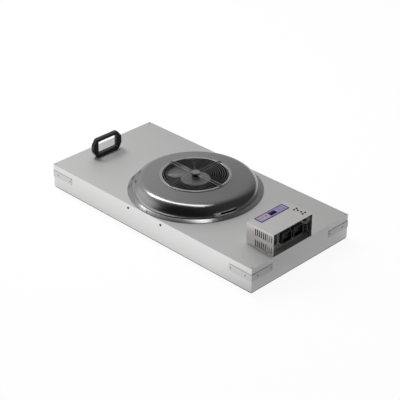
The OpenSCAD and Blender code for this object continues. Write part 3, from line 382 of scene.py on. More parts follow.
def arc(centre: Flat, radius: float, start: float, end: float, steps: int) -> np.ndarray:
    """Points of a circle's arc, as rows of radius and height.

    Each point is the centre plus the radius times the cosine and the sine of
    an angle that runs evenly from start to end, in degrees.
    """
    turn = np.radians(np.linspace(start, end, steps + 1))
    return np.column_stack([centre[0] + radius * np.cos(turn), centre[1] + radius * np.sin(turn)])


def revolve(profile: np.ndarray, turns: int) -> np.ndarray:
    """A grid made by turning a profile about Z.

    Args:
        profile: rows of radius and height.
        turns: number of steps in the full circle.
    Returns:
        Points of shape (profile rows, turns, 3): radius times cosine, radius
        times sine, height.
    """
    turn = np.linspace(0, 2 * np.pi, turns, endpoint=False)
    radius, height = profile[:, :1], profile[:, 1:]
    level = np.broadcast_to(height, (len(profile), turns))
    return np.stack([radius * np.cos(turn), radius * np.sin(turn), level], axis=-1)


def smooth_path(knots: np.ndarray, steps: int) -> np.ndarray:
    """A smooth line through knots.

    Between two knots a and b with outer neighbours p and q the point at t is
    a + t/2 ((b-p) + t ((2p-5a+4b-q) + t (3(a-b)+q-p))).
    """
    ends = np.vstack([knots[:1], knots, knots[-1:]])
    p, a, b, q = (ends[i : len(ends) - 3 + i, None, :] for i in range(4))
    t = np.linspace(0, 1, steps, endpoint=False)[None, :, None]
    bend = (2 * p - 5 * a + 4 * b - q) + t * (3 * (a - b) + q - p)
    line = a + 0.5 * t * ((b - p) + t * bend)
    return np.vstack([line.reshape(-1, 3), knots[-1:]])


def sweep(path: np.ndarray, radius: np.ndarray | float, sides: int) -> np.ndarray:
    """A tube's grid along a path: each ring stands square to the path.

    Args:
        path: points of the centre line.
        radius: one radius, or one for each point.
        sides: points in each ring.
    Returns:
        Points of shape (path points, sides, 3).
    """
    along = np.gradient(path, axis=0)
    along /= np.linalg.norm(along, axis=1, keepdims=True)
    up = np.where(np.abs(along[:, 2:]) < 0.9, (0.0, 0.0, 1.0), (0.0, 1.0, 0.0))
    first = np.cross(along, up)
    first /= np.linalg.norm(first, axis=1, keepdims=True)
    second = np.cross(along, first)
    turn = np.linspace(0, 2 * np.pi, sides, endpoint=False)[None, :, None]
    ring = np.cos(turn) * first[:, None] + np.sin(turn) * second[:, None]
    return path[:, None] + ring * np.broadcast_to(radius, len(path)).reshape(-1, 1, 1)


class Shell:
    """Gathers point grids, in millimetres, into the mesh of one piece."""

    def __init__(self) -> None:
        """Starts empty."""
        self.points: list[np.ndarray] = []
        self.faces: list[list[int]] = []
        self.count = 0

    def add(self, grid: np.ndarray, loop: bool = False, caps: bool = False) -> "Shell":
        """Adds a grid of points as quads, whose columns close on themselves.

        Args:
            grid: points of shape (rows, columns, 3).
            loop: whether the rows close on themselves too.
            caps: whether the first and the last row get a face each.
        Returns:
            The shell itself.
        """
        rows, cols = grid.shape[:2]
        index = self.count + np.arange(rows * cols).reshape(rows, cols)
        here, down = (index, np.roll(index, -1, 0)) if loop else (index[:-1], index[1:])
        corners = [here, np.roll(here, -1, 1), np.roll(down, -1, 1), down]
        self.faces += np.stack(corners, -1).reshape(-1, 4).tolist()
        if caps:
            self.faces += [index[0][::-1].tolist(), index[-1].tolist()]
        self.points.append(grid.reshape(-1, 3))
        self.count += rows * cols
        return self

    def piece(
        self, name: str, finish: str, body: str = UNIT,
        replaces: tuple[str, ...] = (), angle: float = SHARP,
    ) -> bpy.types.Object:
        """Makes the piece, with its finish, its body and its CAD nodes.

        Args:
            name: the piece's name.
            finish: the key of its finish.
            body: the body that it rides on.
            replaces: the CAD nodes that it stands for.
            angle: edges sharper than this stay sharp, in degrees.
        Returns:
            The piece's object.
        """
        mesh = bpy.data.meshes.new(name)
        mesh.from_pydata((np.vstack(self.points) * MM).tolist(), [], self.faces)
        weld(mesh, outward=True)
        return place(mesh, name, finish, body, replaces, angle)


def weld(mesh: bpy.types.Mesh, outward: bool = False) -> None:
    """Merges a mesh's doubled points, and may turn its faces outward."""
    work = bmesh.new()
    work.from_mesh(mesh)
    bmesh.ops.remove_doubles(work, verts=work.verts, dist=WELD)
    if outward:
        bmesh.ops.recalc_face_normals(work, faces=work.faces)
    work.to_mesh(mesh)
    work.free()


def add_object(name: str, data: bpy.types.ID) -> bpy.types.Object:
    """Puts a new object with the given data into the scene."""
    made = bpy.data.objects.new(name, data)
    bpy.context.scene.collection.objects.link(made)
    return made


def place(
    mesh: bpy.types.Mesh, name: str, finish: str, body: str,
    replaces: tuple[str, ...], angle: float,
) -> bpy.types.Object:
    """Puts a mesh into the scene as a finished piece; see Shell.piece."""
    soften(mesh, angle)
    piece = add_object(name, mesh)
    mesh.materials.clear()
    mesh.materials.append(FINISHES[finish].material())
    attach(piece, body)
    if replaces:
        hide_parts(*replaces)
    LOG.info("%s: %d faces on %s", name, len(mesh.polygons), body)
    return piece


def soften(mesh: bpy.types.Mesh, angle: float) -> None:
    """Shades a mesh smooth, with edges above the angle kept sharp."""
    mesh.polygons.foreach_set("use_smooth", np.ones(len(mesh.polygons), bool))
    mesh.set_sharp_from_angle(angle=math.radians(angle))


def cut(piece: bpy.types.Object, tools: list[Shell], angle: float = SHARP) -> None:
    """Cuts closed shells out of a piece and applies the result.

    Args:
        piece: the piece to cut.
        tools: the closed shells to take away.
        angle: edges sharper than this stay sharp.
    """
    for number, tool in enumerate(tools):
        cutter = tool.piece(f"cutter_{number}", "dome_metal")
        modifier = piece.modifiers.new("cut", "BOOLEAN")
        modifier.operation = "DIFFERENCE"
        modifier.solver = "EXACT"
        modifier.object = cutter
        graph = bpy.context.evaluated_depsgraph_get()
        mesh = bpy.data.meshes.new_from_object(piece.evaluated_get(graph))
        piece.modifiers.clear()
        old, piece.data = piece.data, mesh
        mesh.name = piece.name
        bpy.data.meshes.remove(old)
        bpy.data.meshes.remove(cutter.data)
    soften(piece.data, angle)


def turned(points: np.ndarray, angle: float) -> np.ndarray:
    """Points turned about Z by an angle in degrees."""
    c, s = math.cos(math.radians(angle)), math.sin(math.radians(angle))
    return points @ np.array([[c, s, 0], [-s, c, 0], [0, 0, 1]])


def rounded_outline(length: float, width: float, corner: float, steps: int = 6) -> np.ndarray:
    """Points of a round-cornered rectangle about the origin, counter-clockwise."""
    x, y = length / 2 - corner, width / 2 - corner
    corners = [((x, y), 0), ((-x, y), 90), ((-x, -y), 180), ((x, -y), 270)]
    return np.vstack([arc(c, corner, a, a + 90, steps) for c, a in corners])


def levels(rows: list[tuple[np.ndarray, float]]) -> np.ndarray:
    """A grid of flat outlines, each at its own height."""
    return np.stack([np.column_stack([line, np.full(len(line), z)]) for line, z in rows])


def slab(outline: np.ndarray, low: float, high: float, bevel: float = 0.0) -> np.ndarray:
    """A grid for a flat plate: the outline carried from one height to another.

    With a bevel the outline shrinks toward its middle by that much at both faces.
    """
    if not bevel:
        return levels([(outline, low), (outline, high)])
    middle = outline.mean(0)
    away = outline - middle
    inner = middle + away * (1 - bevel / np.linalg.norm(away, axis=1, keepdims=True))
    return levels([(inner, low), (outline, low + bevel), (outline, high - bevel), (inner, high)])


def drill(outline: np.ndarray, near: float, far: float, angle: float) -> Shell:
    """A closed tool that carries an outline outward between two radii.

    Args:
        outline: rows of side and height.
        near: the smaller distance from the fan's axis.
        far: the greater distance.
        angle: the tool's direction about Z, in degrees.
    Returns:
        The tool's shell.
    """
    rows = [np.column_stack([np.full(len(outline), reach), outline]) for reach in (near, far)]
    return Shell().add(turned(np.stack(rows), angle), caps=True)


@dataclass(frozen=True)
class Studio:
    """Camera, floor, lamps and surroundings, in metres.

    Args:
        eye: the camera's place.
        right: the camera's right-hand direction.
        up: the camera's upward direction.
        lens: focal length in millimetres.
        sensor: the sensor's width in millimetres.
        floor_size: side of the floor.
        floor_tone: the floor's grey.
        floor_glow: strength of the floor's own light, seen or mirrored.
        floor_share: share of that light in what is seen.
        painted_mirror_shade: painted shade in the mirrored floor: the ranges of X and Y
        over which its light fades, and the factors at their ends. It darkens the
        floor toward +X and next to the -Y long side as metal mirrors it.
        ambient: strength of the surroundings on all sides.
        lobes: each brighter part's direction, the cosines where it starts and
            is full, and its strength.
        lamps: each lamp's name, place, sides, angle about Z and power in watts.
    """

    eye: Point = (3.28629, -3.26502, 2.75290)
    right: Point = (0.70759, 0.70662, 0.0)
    up: Point = (-0.3555, 0.3560, 0.8642)
    lens: float = 115.26
    sensor: float = 36.0
    floor_size: float = 60.0
    floor_tone: float = 0.86
    floor_glow: float = 1.16
    floor_share: float = 0.8
    painted_mirror_shade: tuple[tuple[float, ...], ...] = ((0.35, 0.85, 1.0, 0.16), (-0.46, -0.31, 1.2, 0.78))
    ambient: float = 0.02
    lobes: tuple[tuple[Point, float, float, float], ...] = (
        ((-0.70, 0.60, 0.46), 0.45, 0.95, 0.36),
        ((-1.0, -0.15, 0.15), 0.35, 0.95, 0.30),
        ((-0.85, -0.5, 0.3), 0.8, 0.98, 0.6),
        ((0.6, 0.75, 0.35), 0.0, 1.0, 0.05),
    )
    lamps: tuple[tuple[str, Point, Flat, float, float], ...] = (
        ("softbox_high", (-1.35, 0.14, 3.0), (3.5, 0.55), 6.0, 21.0),
        ("softbox_hot", (-2.4, 0.05, 2.95), (1.2, 0.45), 12.0, 12.0),
    )

    def build(self) -> None:
        """Builds the whole studio."""
        self.camera()
        self.floor()
        self.world()
        for lamp in self.lamps:
            self.softbox(*lamp)
        bpy.context.scene.view_settings.view_transform = "Standard"

    def camera(self) -> None:
        """The camera, from its three directions."""
        data = bpy.data.cameras.new("camera")
        data.sensor_width = self.sensor
        data.lens = self.lens
        data.clip_end = 200.0
        camera = add_object("camera", data)
        right, up = Vector(self.right).normalized(), Vector(self.up).normalized()
        turn = Matrix((right, up, right.cross(up))).transposed().to_4x4()
        camera.matrix_world = Matrix.Translation(self.eye) @ turn
        bpy.context.scene.camera = camera

    def floor(self) -> None:
        """A wide pale floor that keeps the shadow under a white view."""
        half = self.floor_size / 2
        corners = [(-half, -half, 0), (half, -half, 0), (half, half, 0), (-half, half, 0)]
        mesh = bpy.data.meshes.new("floor")
        mesh.from_pydata(corners, [], [(0, 1, 2, 3)])
        floor = add_object("floor", mesh)
        floor.location.z = -0.0005
        material = bpy.data.materials.new("floor_paper")
        graph = Graph(material)
        shader = graph.tree.nodes["Principled BSDF"]
        shader.inputs["Base Color"].default_value = (*[self.floor_tone] * 3, 1.0)
        shader.inputs["Roughness"].default_value = 0.9
        glow = graph.make("Emission", 0, {"Strength": self.floor_glow})
        rays = graph.new("LightPath").outputs
        # Painted shade: metal mirrors the floor's light faded toward +X and next to the -Y long
        # side, which shades the module's +X end and the foot of its long side.
        mirrored = graph.math("MAXIMUM", rays["Is Glossy Ray"], rays["Is Transmission Ray"])
        for part, limits in zip(graph.parts(graph.place), self.painted_mirror_shade):
            mirrored = graph.math("MULTIPLY", mirrored, graph.ranged(part, limits))
        seen = graph.math("MAXIMUM", rays["Is Camera Ray"], mirrored)
        share = graph.math("MULTIPLY", seen, self.floor_share)
        blend = graph.make("MixShader", 0, {0: share, 1: shader.outputs[0], 2: glow})
        graph.link(blend, graph.tree.nodes["Material Output"].inputs["Surface"])
        mesh.materials.append(material)

    def world(self) -> None:
        """Soft surroundings: bright behind on the left, dim behind the viewer."""
        world = bpy.data.worlds.new("surroundings")
        bpy.context.scene.world = world
        graph = Graph(world, "Generated")
        total: float | Socket = self.ambient
        for aim, start, full, strength in self.lobes:
            limits = (start, full, 0.0, strength)
            total = graph.math("ADD", graph.ranged(graph.toward(aim), limits, "SMOOTHSTEP"), total)
        rays = graph.new("LightPath").outputs
        back = graph.tree.nodes["Background"]
        back.inputs["Color"].default_value = (1.0, 1.0, 1.0, 1.0)
        graph.link(graph.math("MAXIMUM", rays["Is Camera Ray"], total), back.inputs["Strength"])

    def softbox(self, name: str, where: Point, size: Flat, turn: float, power: float) -> None:
        """A flat rectangular lamp that looks straight down; see the class's lamps."""
        data = bpy.data.lights.new(name, "AREA")
        data.shape = "RECTANGLE"
        data.size, data.size_y = size
        data.energy = power
        lamp = add_object(name, data)
        lamp.location = where
        lamp.rotation_euler.z = math.radians(turn)


@dataclass
class Inlet:
    """The spun dome, its nozzle and the wire guard."""

    wall_r: float = 266.0
    shoulder_r: float = 58.0
    flange_r: float = 284.0
    blend_r: float = 6.0
    flare: float = 24.0
    sheet: float = 1.5
    slope: float = 8.45
    throat_r: float = 137.0
    bore_gap: float = 2.2
    lip_w: float = 13.0
    lip_h: float = 3.0
    lip_edge: float = 2.6
    seat_r: float = 152.0
    nozzle_foot: float = 126.0
    turns: int = 240
    slot_angles: Flat = (-14.0, -166.0)
    slot_size: Flat = (76.0, 7.0)
    slot_z: float = 133.0
    slot_reach: Flat = (215.0, 275.0)
    ring_r: float = 0.8
    ring_outer: float = 132.0
    ring_pitch: float = 9.5
    ring_count: int = 11
    ring_lift: float = 0.6
    spoke_r: float = 1.0
    spoke_gap: float = 15.0
    foot: Flat = (10.0, 21.4)
    foot_h: float = 1.2
    cable_angle: float = 138.0
    cable_z: float = 156.0
    cable_hole: float = 7.0

    def build(self) -> None:
        """Builds the dome, the nozzle with its lip, and the guard."""
        self.dome()
        self.nozzle()
        self.guard()

    def dome_profile(self) -> np.ndarray:
        """The dome's closed half section.

        Its outer face runs from the inlet along the flat seat, down the sloping
        crown line, round the shoulder's arc and through a tangent blend to the
        flaring flange and its rolled edge; its inner face comes back a sheet's
        thickness below. The blend's middle lies one blend radius off the flare
        line and the sum of both radii from the shoulder's middle.
        """
        centre = self.wall_r - self.shoulder_r
        crown = math.radians(self.slope)
        crown_r = centre + self.shoulder_r * math.sin(crown)
        crown_h = self.shoulder_r * math.cos(crown)
        seat_h = crown_h + (crown_r - self.seat_r) * math.tan(crown)
        bore = self.throat_r + self.bore_gap
        tilt = math.radians(self.flare)
        down = np.array([-math.cos(tilt), math.sin(tilt)])
        normal = np.array([math.sin(tilt), math.cos(tilt)])
        start = np.array([self.flange_r - 0.6, 1.9]) + self.blend_r * normal - (centre, 0)
        half = start @ down
        span = -half - math.sqrt(half**2 - start @ start + (self.shoulder_r + self.blend_r) ** 2)
        blend = start + span * down
        meet = math.degrees(math.atan2(blend[1], blend[0]))
        inner = self.shoulder_r - self.sheet
        ends = (self.seat_r + 1, seat_h - 0.16), (crown_r - 1, crown_h + 0.16)
        parts = [
            np.linspace((bore, seat_h), (self.seat_r, seat_h), 5),
            np.linspace(*ends, 14),
            arc((centre, 0), self.shoulder_r, 90 - self.slope, meet, 44),
            arc(blend + (centre, 0), self.blend_r, 180 + meet, 270 - self.flare, 10),
            arc((self.flange_r - 1, 1), 1.0, 90 - self.flare, -90, 10),
            [[self.wall_r + 8, 0.0]],
            arc((centre, 0), inner, 0, 90 - self.slope, 24),
            [[self.seat_r, seat_h - self.sheet], [bore, seat_h - self.sheet]],
        ]
        profile = np.vstack(parts)
        profile[:, 1] += PANEL_Z
        return profile

    def dome(self) -> None:
        """The spun dome with its two slots."""
        shell = Shell().add(revolve(self.dome_profile(), self.turns), loop=True)
        piece = shell.piece("spun_dome", "dome_metal", replaces=("inlet_dome",))
        length, height = self.slot_size
        outline = rounded_outline(length, height, height / 2 - 0.05, 8) + (0.0, self.slot_z)
        cut(piece, [drill(outline, *self.slot_reach, angle) for angle in self.slot_angles], 30.0)

    def nozzle(self) -> None:
        """The straight throat with its rolled lip and the cable's hole."""
        seat = LIP_TOP - self.lip_h
        inner, outer = self.throat_r, self.throat_r + self.sheet
        foot, top = self.nozzle_foot, seat + 0.2
        sleeve = np.array([[inner, foot], [outer, foot], [outer, top], [inner, top]])
        shell = Shell().add(revolve(sleeve, self.turns), loop=True)
        # The sleeve takes that near-black finish: painted shade inside the throat.
        piece = shell.piece("throat_sleeve", "nozzle_metal", replaces=("inlet_nozzle",))
        half, edge = self.lip_h / 2, self.lip_edge
        rolled = np.vstack([
            [[inner, seat - 3.0], [outer, seat - 3.0], [outer, seat]],
            arc((inner + self.lip_w - half, seat + half), half, -90, 90, 10),
            arc((inner + edge, LIP_TOP - edge), edge, 90, 180, 8),
        ])
        Shell().add(revolve(rolled, self.turns), loop=True).piece("rolled_lip", "lip_metal")
        hole = arc((0.0, self.cable_z), self.cable_hole, 0, 360, 32)[:-1]
        cut(piece, [drill(hole, inner - 6, inner + 6, self.cable_angle)])

    def guard(self) -> None:
        """Rings under two crossing pairs of spokes, with foot plates."""
        shell = Shell()
        ring_z = SPOKE_Z - self.spoke_r - self.ring_r + self.ring_lift
        for number in range(self.ring_count):
            centre = (self.ring_outer - number * self.ring_pitch, ring_z)
            shell.add(revolve(arc(centre, self.ring_r, 0, 360, 10)[:-1], 144), loop=True)
        lip_middle = self.throat_r + self.lip_w / 2
        reach = lip_middle + 2
        for angle in (0, 90):
            for side in (-self.spoke_gap / 2, self.spoke_gap / 2):
                path = np.linspace((-reach, side, SPOKE_Z), (reach, side, SPOKE_Z), 31)
                shell.add(sweep(turned(path, angle), self.spoke_r, 12), caps=True)
        plate = slab(
            rounded_outline(*self.foot, 2.0) + (lip_middle, 0), LIP_TOP, LIP_TOP + self.foot_h, 0.3
        )
        for angle in (0, 90, 180, 270):
            shell.add(turned(plate, angle), caps=True)
        shell.piece("wire_guard", "guard_wire", replaces=("inlet_guard",))


@dataclass
class FanCable:
    """The lead from the motor to the control box, with its boot."""

    radius: float = 3.5
    boot: Flat = (5.6, 4.0)
    boot_span: tuple[int, int] = (4, 14)
    knots: tuple[Point, ...] = (
        (-47, 42, 154), (-66, 60, 158), (-84, 76, 158), (-103, 92, 156), (-126, 114, 156),
        (-148, 134, 152), (-146, 160, 146), (-110, 190, 140), (-60, 212, 136), (0, 220, 134),
        (60, 212, 134), (120, 184, 132), (166, 146, 128), (200, 100, 122), (222, 50, 110),
        (236, 0, 103), (280.28, -30, 100), (339.32, -48, 100), (420.5, -51, 100),
        (464.78, -51, 99), (477, -51, 101), (482, -51, 108), (482, -51, 117), (487, -51, 128),
        (500, -51, 130),
    )

    def build(self) -> None:
        path = smooth_path(np.array(self.knots, float), 6)
        shell = Shell().add(sweep(path, self.radius, 16), caps=True)
        lead = shell.piece("fan_lead", "cable_black", replaces=("fan_cable",))
        line = path[slice(*self.boot_span)]
        taper = np.linspace(*self.boot, len(line))
        Shell().add(sweep(line, taper, 20), caps=True).piece("lead_boot", "cable_black")


@dataclass
class FilterPack:
    """Pleated media, foam seal and foam gasket."""

    length: float = 1160.6
    width: float = 560.6
    media_inset: float = 5.6
    media_low: float = 13.6
    media_high: float = 58.1
    pitch: float = 6.0
    thickness: float = 0.7
    rounding: float = 0.14
    lean: float = 0.5
    lean_length: float = 37.0
    lean_step: float = 0.9

    def build(self) -> None:
        """Builds the three soft pieces."""
        self.media()
        self.strip("grid_gasket", "gasket_foam", (1163.0, 563.0), (0.0, 5.0), 16.0)
        self.strip("filter_seal", "seal_foam", (self.length, self.width), (6.2, 10.2), 14.0)

    def media(self) -> None:
        """The pleats: a rounded zigzag carried across the pack.

        The height is the middle plus half the rise times a zigzag, mixed with
        a share of its sine that rounds the folds. Each pleat leans by a slow
        wave along its length, which shifts a step from pleat to pleat.
        """
        length, width = self.length - self.media_inset, self.width - self.media_inset
        folds = int(length // self.pitch)
        across = np.linspace(-width / 2, width / 2, 15)
        phase = np.linspace(0, folds, folds * 8 + 1)
        saw = 2 * np.abs(2 * (phase % 1) - 1) - 1
        wave = (1 - self.rounding) * saw + self.rounding * np.sin(np.pi * saw / 2)
        x = (phase - folds / 2) * self.pitch
        rise = (self.media_high - self.media_low - self.thickness) / 2
        height = self.media_low + rise + rise * wave
        lean = self.lean * np.sin(across / self.lean_length + phase[:, None] * self.lean_step)
        lean[[0, -1]] = 0
        low = np.stack(np.broadcast_arrays(x[:, None] + lean, across, height[:, None]), -1)
        high = low + (0, 0, self.thickness)
        shell = Shell().add(np.concatenate([low, high[:, ::-1]], axis=1), caps=True)
        shell.piece("pleated_media", "filter_paper", replaces=("filter_media",), angle=60.0)

    def strip(self, node: str, slot: str, outer: Flat, heights: Flat, width: float) -> None:
        """A foam strip: its round-edged section carried round a rectangle.

        A section point that lies d inside the outer edge runs round the
        rectangle whose half sides are d shorter.

        Args:
            node: the CAD node that it stands for.
            slot: its material slot.
            outer: the rectangle's two sides.
            heights: its lower and upper height.
            width: the strip's width.
        """
        low, high = heights
        section = rounded_outline(width, high - low, 0.9, 4) + (width / 2, (low + high) / 2)
        ramp = np.linspace(-1, 1, 24, endpoint=False)
        one = np.ones(len(ramp))
        unit = np.vstack([
            np.column_stack([ramp, -one]), np.column_stack([one, ramp]),
            np.column_stack([-ramp, one]), np.column_stack([-one, -ramp]),
        ])
        half = np.array(outer) / 2 - section[:, :1]
        flat = unit[None] * half[:, None]
        rise = np.broadcast_to(section[:, 1, None, None], (len(section), len(unit), 1))
        grid = np.concatenate([flat, rise], -1)
        Shell().add(grid, loop=True).piece(f"{node}_foam", slot, replaces=(node,))


class Recess(Enum):
    """The drive in a fastener's head, and its depth as a share of the head."""

    CROSS = 0.5
    SOCKET = 0.6
    NONE = 0.0


# Sizes of the drives, as shares of the head's radius: half the width and half
# the length of the cross, and half the width of the six-sided socket.
CROSS_HALF, CROSS_REACH, SOCKET_HALF = 0.12, 0.55, 0.46
HEAD_SHARES = (0.04, 0.12, 0.2, 0.28, 0.36, 0.44, 0.5, 0.56, 0.7, 0.85, 0.95, 1.0)


@dataclass
class FastenerSet:
    """Equal screws or rivets that stand for one CAD node.

    Args:
        node: the CAD node.
        head: head radius and height.
        shank: shank radius and length.
        seats: each fastener's seat and outward direction.
        recess: the drive in the head.
        finish: the key of their finish.
        body: the body that they ride on.
    """

    node: str
    head: Flat
    shank: Flat
    seats: list[tuple[Point, Point]]
    recess: Recess = Recess.CROSS
    finish: str = "fastener_steel"
    body: str = UNIT

    def build(self) -> None:
        """Builds every fastener of the set into one mesh."""
        shell = Shell()
        grid = self.head_grid()
        radius, length = self.shank
        section = np.array([[radius, 0.2], [radius, -length + 0.5], [radius - 0.5, -length]])
        stem = revolve(section, 16)
        for seat, aim in self.seats:
            turn = np.array(Vector((0, 0, 1)).rotation_difference(Vector(aim)).to_matrix())
            for part in (grid, stem):
                shell.add(part @ turn.T + np.array(seat), caps=True)
        shell.piece(f"{self.node}_set", self.finish, self.body, (self.node,), 40.0)

    def head_grid(self) -> np.ndarray:
        """The head: a low dome over a straight rim, less the recess.

        The height is the head's height times 1 minus 0.4 times the fourth
        power of the radius share; the recess takes away its depth where the
        point lies in its cross or its six-sided socket.
        """
        radius, height = self.head
        turn = np.linspace(0, 2 * np.pi, 32, endpoint=False)
        reach, angle = np.array(HEAD_SHARES)[:, None], turn[None, :]
        x, y = reach * np.cos(angle), reach * np.sin(angle)
        small, great = np.minimum(np.abs(x), np.abs(y)), np.maximum(np.abs(x), np.abs(y))
        inside = (small < CROSS_HALF) & (great < CROSS_REACH)
        if self.recess is Recess.SOCKET:
            sector = (angle + np.pi / 6) % (np.pi / 3) - np.pi / 6
            inside = reach * np.cos(sector) < SOCKET_HALF
        top = height * (1 - 0.4 * reach**4 - self.recess.value * inside)
        rows = np.stack([radius * x, radius * y, top], -1)
        return np.concatenate([rows, rows[-1:] * (1, 1, 0)])


def fastener_sets() -> list[FastenerSet]:
    """Every set of screws and rivets, with the places from the module's sizes."""
    signs = [(1, -1), (-1, -1), (-1, 1), (1, 1)]
    up, down, end = (0, 0, 1), (0, 0, -1), (1, 0, 0)
    long, wide, strap_z = 585.0, 285.0, 69.0
    straps = []
    for sx, sy in signs:
        for inset in (34.0, 110.0):
            straps.append(((sx * (long - inset), sy * wide, strap_z), (0, sy, 0)))
            straps.append(((sx * long, sy * (wide - inset), strap_z), (sx, 0, 0)))
    corners = [((sx * 576.0, sy * 275.0, PANEL_Z), up) for sx, sy in signs]
    cover = [((s * x, -s * 283.5, 92.0), (0, -s, 0)) for s in (1, -1) for x in (-106.0, 85.0)]

    def circle(count: int, start: float, radius: float, z: float, aim: Point = up) -> list:
        """Seats on a circle about the fan's axis, each with its direction."""
        turn = np.radians(start + np.arange(count) * 360 / count)
        return [((radius * math.cos(t), radius * math.sin(t), z), aim) for t in turn]

    reach, outward, upward = 277.5, 0.407, 0.914
    flange = [
        ((x, y, z), (outward * x / reach, outward * y / reach, upward))
        for (x, y, z), _ in circle(6, -30, reach, 116.5)
    ]
    feet = circle(4, 0, 143.5, LIP_TOP + 1.2)
    flat_top = [(510, 49), (510, 34), (523, 41.5), (540, 41.5), (554, 49), (554, 34)]
    top = [((x, y, BOX_TOP), up) for x, y in flat_top]
    plate = [((PLATE_FRONT, y, PANEL_Z + z), end) for y in (-105, -41, 18) for z in (16, 78)]
    dark = "black_screw"
    return [
        FastenerSet("strap_rivets", (3.4, 1.0), (2.0, 3.7), straps, Recess.NONE),
        FastenerSet("corner_rivets", (2.8, 0.9), (1.6, 5.0), corners, Recess.NONE),
        FastenerSet("cover_screws", (4.8, 2.2), (2.0, 6.0), cover, finish=dark),
        FastenerSet("dome_screws", (3.4, 2.0), (2.0, 6.0), flange),
        FastenerSet("guard_feet_screws", (3.0, 2.0), (1.5, 8.0), feet, Recess.SOCKET, dark),
        FastenerSet(
            "impeller_screws", (3.6, 2.2), (1.9, 5.0), circle(4, 45, 30, 70.0, down), body=FAN
        ),
        FastenerSet("plate_screws", (3.6, 2.0), (2.0, 6.0), plate),
        FastenerSet("box_top_screws", (4.2, 1.8), (1.5, 5.0), top, finish=dark),
    ]


@dataclass
class CarryHandle:
    """The moulded handle at the end away from the controls."""

    middle_x: float = -499.0
    span_y: Flat = (-129.0, 28.0)
    span_z: Flat = (112.0, 199.0)
    window_y: Flat = (-104.5, 3.5)
    window_z: Flat = (128.0, 187.0)
    depth: float = 24.0
    corner: Flat = (20.0, 27.0)
    edge_power: float = 60.0
    window_power: float = 26.0
    squareness: float = 0.34

    def build(self) -> None:
        """Builds the handle.

        One loop runs round the handle and one round its window; at each step
        the section is a squared-off ring between the two: half the distance
        times a cosine and half the depth times a sine, both pushed outward.
        """
        turn = np.linspace(0, 2 * np.pi, 240, endpoint=False)
        direction = np.column_stack([np.cos(turn), np.sin(turn)])
        centre, half = self.middle_and_half(self.span_y, self.span_z)
        slant = np.array([self.corner[1], self.corner[0]]) / math.hypot(*self.corner)
        reach = slant @ (half - (0, self.corner[1]))
        flats = [((1, 0), half[0]), ((0, 1), half[1]), (slant, reach)]
        outer = centre + direction * self.radius(direction, flats, self.edge_power)
        centre, half = self.middle_and_half(self.window_y, self.window_z)
        flats = [((1, 0), half[0]), ((0, 1), half[1])]
        inner = centre + direction * self.radius(direction, flats, self.window_power)
        around = np.linspace(0, 2 * np.pi, 40, endpoint=False)
        wide, deep = (
            np.sign(f(around)) * np.abs(f(around)) ** self.squareness for f in (np.cos, np.sin)
        )
        yz = ((outer + inner) / 2)[:, None] + ((outer - inner) / 2)[:, None] * wide[:, None]
        x = np.broadcast_to(self.middle_x + self.depth / 2 * deep, yz.shape[:2])
        shell = Shell().add(np.concatenate([x[..., None], yz], -1), loop=True)
        shell.piece("grip", "handle_black", replaces=("handle",), angle=60.0)

    @staticmethod
    def middle_and_half(*spans: Flat) -> tuple[np.ndarray, np.ndarray]:
        """The middle of a rectangle, and its two half sides."""
        low, high = np.array(spans).T
        return (low + high) / 2, (high - low) / 2

    @staticmethod
    def radius(direction: np.ndarray, flats: list, sharpness: float) -> np.ndarray:
        """Distance to a rounded polygon that is symmetric about both axes.

        It is the sum over the flats of (the direction's part along the flat's
        normal over the flat's distance) to the power of the sharpness, taken
        to the power of -1 over the sharpness.

        Args:
            direction: unit vectors from the polygon's middle.
            flats: each flat's normal in the first quarter, and its distance.
            sharpness: the greater, the tighter the corners.
        Returns:
            One distance for each direction, as a column.
        """
        total = sum((np.abs(direction) @ np.array(n) / d) ** sharpness for n, d in flats)
        return (total ** (-1 / sharpness))[:, None]


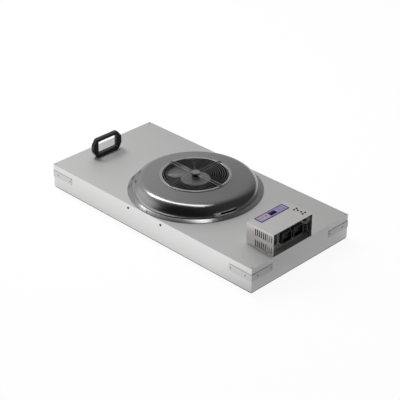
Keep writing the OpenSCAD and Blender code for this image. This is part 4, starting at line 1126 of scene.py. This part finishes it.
@dataclass
class LabelPrint:
    """The print on the key label, and its two lamps.

    Args:
        ink: the print's thickness.
        border: the label's outer line: its middle, size and width.
        display: the display's line, in the same way.
        key_size: one key's two sides.
        key_x: the keys' columns.
        key_y: the keys' rows.
        mark: half the size of the triangle on a key.
        fields: each pale field's middle, size and corner radius.
        lamp_x: the lamps' common X.
        lamp_r: a lamp's radius.
    """

    ink: float = 0.06
    border: tuple[Flat, Flat, float] = ((467.0, -47.5), (41.4, 160.4), 4.2)
    display: tuple[Flat, Flat, float] = ((467.0, -44.0), (23.0, 38.0), 1.8)
    key_size: Flat = (12.0, 11.0)
    key_x: Flat = (459.0, 475.0)
    key_y: Point = (-12.0, 2.0, 16.0)
    mark: float = 2.6
    fields: tuple[tuple[Flat, Flat, float], ...] = (
        ((455.0, -114.0), (18.0, 12.0), 2.0),
        ((466.0, -86.0), (26.0, 36.0), 3.0),
    )
    lamp_x: float = 464.0
    lamp_r: float = 4.6

    def build(self) -> None:
        """Builds the print and the lamps."""
        self.frame()
        self.keys()
        self.patches()
        self.lamp("amber_lamp", "lamp_amber", -95.0, ("status_lamps",))
        self.lamp("red_lamp", "lamp_red", -79.0, ())

    def ring(self, shell: Shell, centre: Flat, size: Flat, line: float) -> None:
        """Adds a printed round-cornered line: two outlines joined at two heights."""
        low, high = LABEL_TOP, LABEL_TOP + self.ink
        outer = rounded_outline(*size, 2.5) + centre
        inner = rounded_outline(size[0] - 2 * line, size[1] - 2 * line, 2.5 - min(line, 2.0))
        inner += centre
        shell.add(levels([(outer, low), (outer, high), (inner, high), (inner, low)]), loop=True)

    def flat(self, shell: Shell, outline: np.ndarray) -> None:
        """Adds a printed patch with the given outline."""
        shell.add(slab(outline, LABEL_TOP, LABEL_TOP + self.ink), caps=True)

    def frame(self) -> None:
        """The dark line round the label and round the display."""
        shell = Shell()
        self.ring(shell, *self.border)
        self.ring(shell, *self.display)
        shell.piece("label_frame", "print_violet")

    def keys(self) -> None:
        """Key outlines with a plain triangle in each."""
        shell = Shell()
        for number, y in enumerate(self.key_y):
            for side, x in zip((-1, 1), self.key_x):
                self.ring(shell, (x, y), self.key_size, 0.9)
                tip = (-1) ** number * side * self.mark
                corners = [[x + tip, y], [x - tip, y + self.mark], [x - tip, y - self.mark]]
                self.flat(shell, np.array(corners))
        shell.piece("label_keys", "print_keys")

    def patches(self) -> None:
        """Pale fields behind the lamps and at the label's foot."""
        shell = Shell()
        for centre, size, corner in self.fields:
            self.flat(shell, rounded_outline(*size, corner) + centre)
        shell.piece("label_fields", "print_pale")

    def lamp(self, name: str, finish: str, y: float, nodes: tuple[str, ...]) -> None:
        """A lamp lens: a short cylinder under a shallow crown."""
        crown = [[self.lamp_r, 205.2], [self.lamp_r, 208.9], [4.2, 209.2], [2.8, 209.35]]
        grid = revolve(np.array([*crown, [1.0, 209.4]]), 32) + (self.lamp_x, y, 0.0)
        Shell().add(grid, caps=True).piece(name, finish, replaces=nodes)


@dataclass
class DressedSolids:
    """The CAD solids that are shown, with their finishes.

    Args:
        nodes: the frame's nodes by name.
        slots: each node's material slot.
        rounded: the nodes that get a smoothly shaded copy.
    """

    nodes: dict[str, bpy.types.Object]
    slots: dict[str, str]
    rounded: tuple[str, ...] = (
        "motor_casting", "electronics_cover", "guard_post", "guard_cap", "rotor_cup", "impeller",
        "fan_shaft", "bearing_upper", "bearing_lower", "stator_core", "rotor_magnets",
        "drive_board", "nozzle_grommet", "panel_grommet", "display_window", "fuse_holder",
        "power_rocker",
    )

    def build(self) -> None:
        """Gives every node its finish, and puts merged, smooth copies for the round ones."""
        for name, node in self.nodes.items():
            node.data.materials.clear()
            node.data.materials.append(FINISHES[self.slots[name]].material())
        for name in self.rounded:
            node = self.nodes[name]
            mesh = node.data.copy()
            weld(mesh)
            place(mesh, f"{name}_smooth", self.slots[name], node["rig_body"], (name,), 30.0)


def main() -> None:
    """Builds the dressed fan filter unit, piece by piece."""
    logging.basicConfig(level=logging.INFO, format="%(name)s: %(message)s")
    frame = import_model()
    slots = {part["node"]: part["material_slot"] for part in frame["record"]["subparts"]}
    Studio().build()
    FanCable().build()
    DressedSolids(frame["nodes"], slots).build()
    Inlet().build()
    FilterPack().build()
    CarryHandle().build()
    LabelPrint().build()
    for fasteners in fastener_sets():
        fasteners.build()


if __name__ == "__main__":
    main()
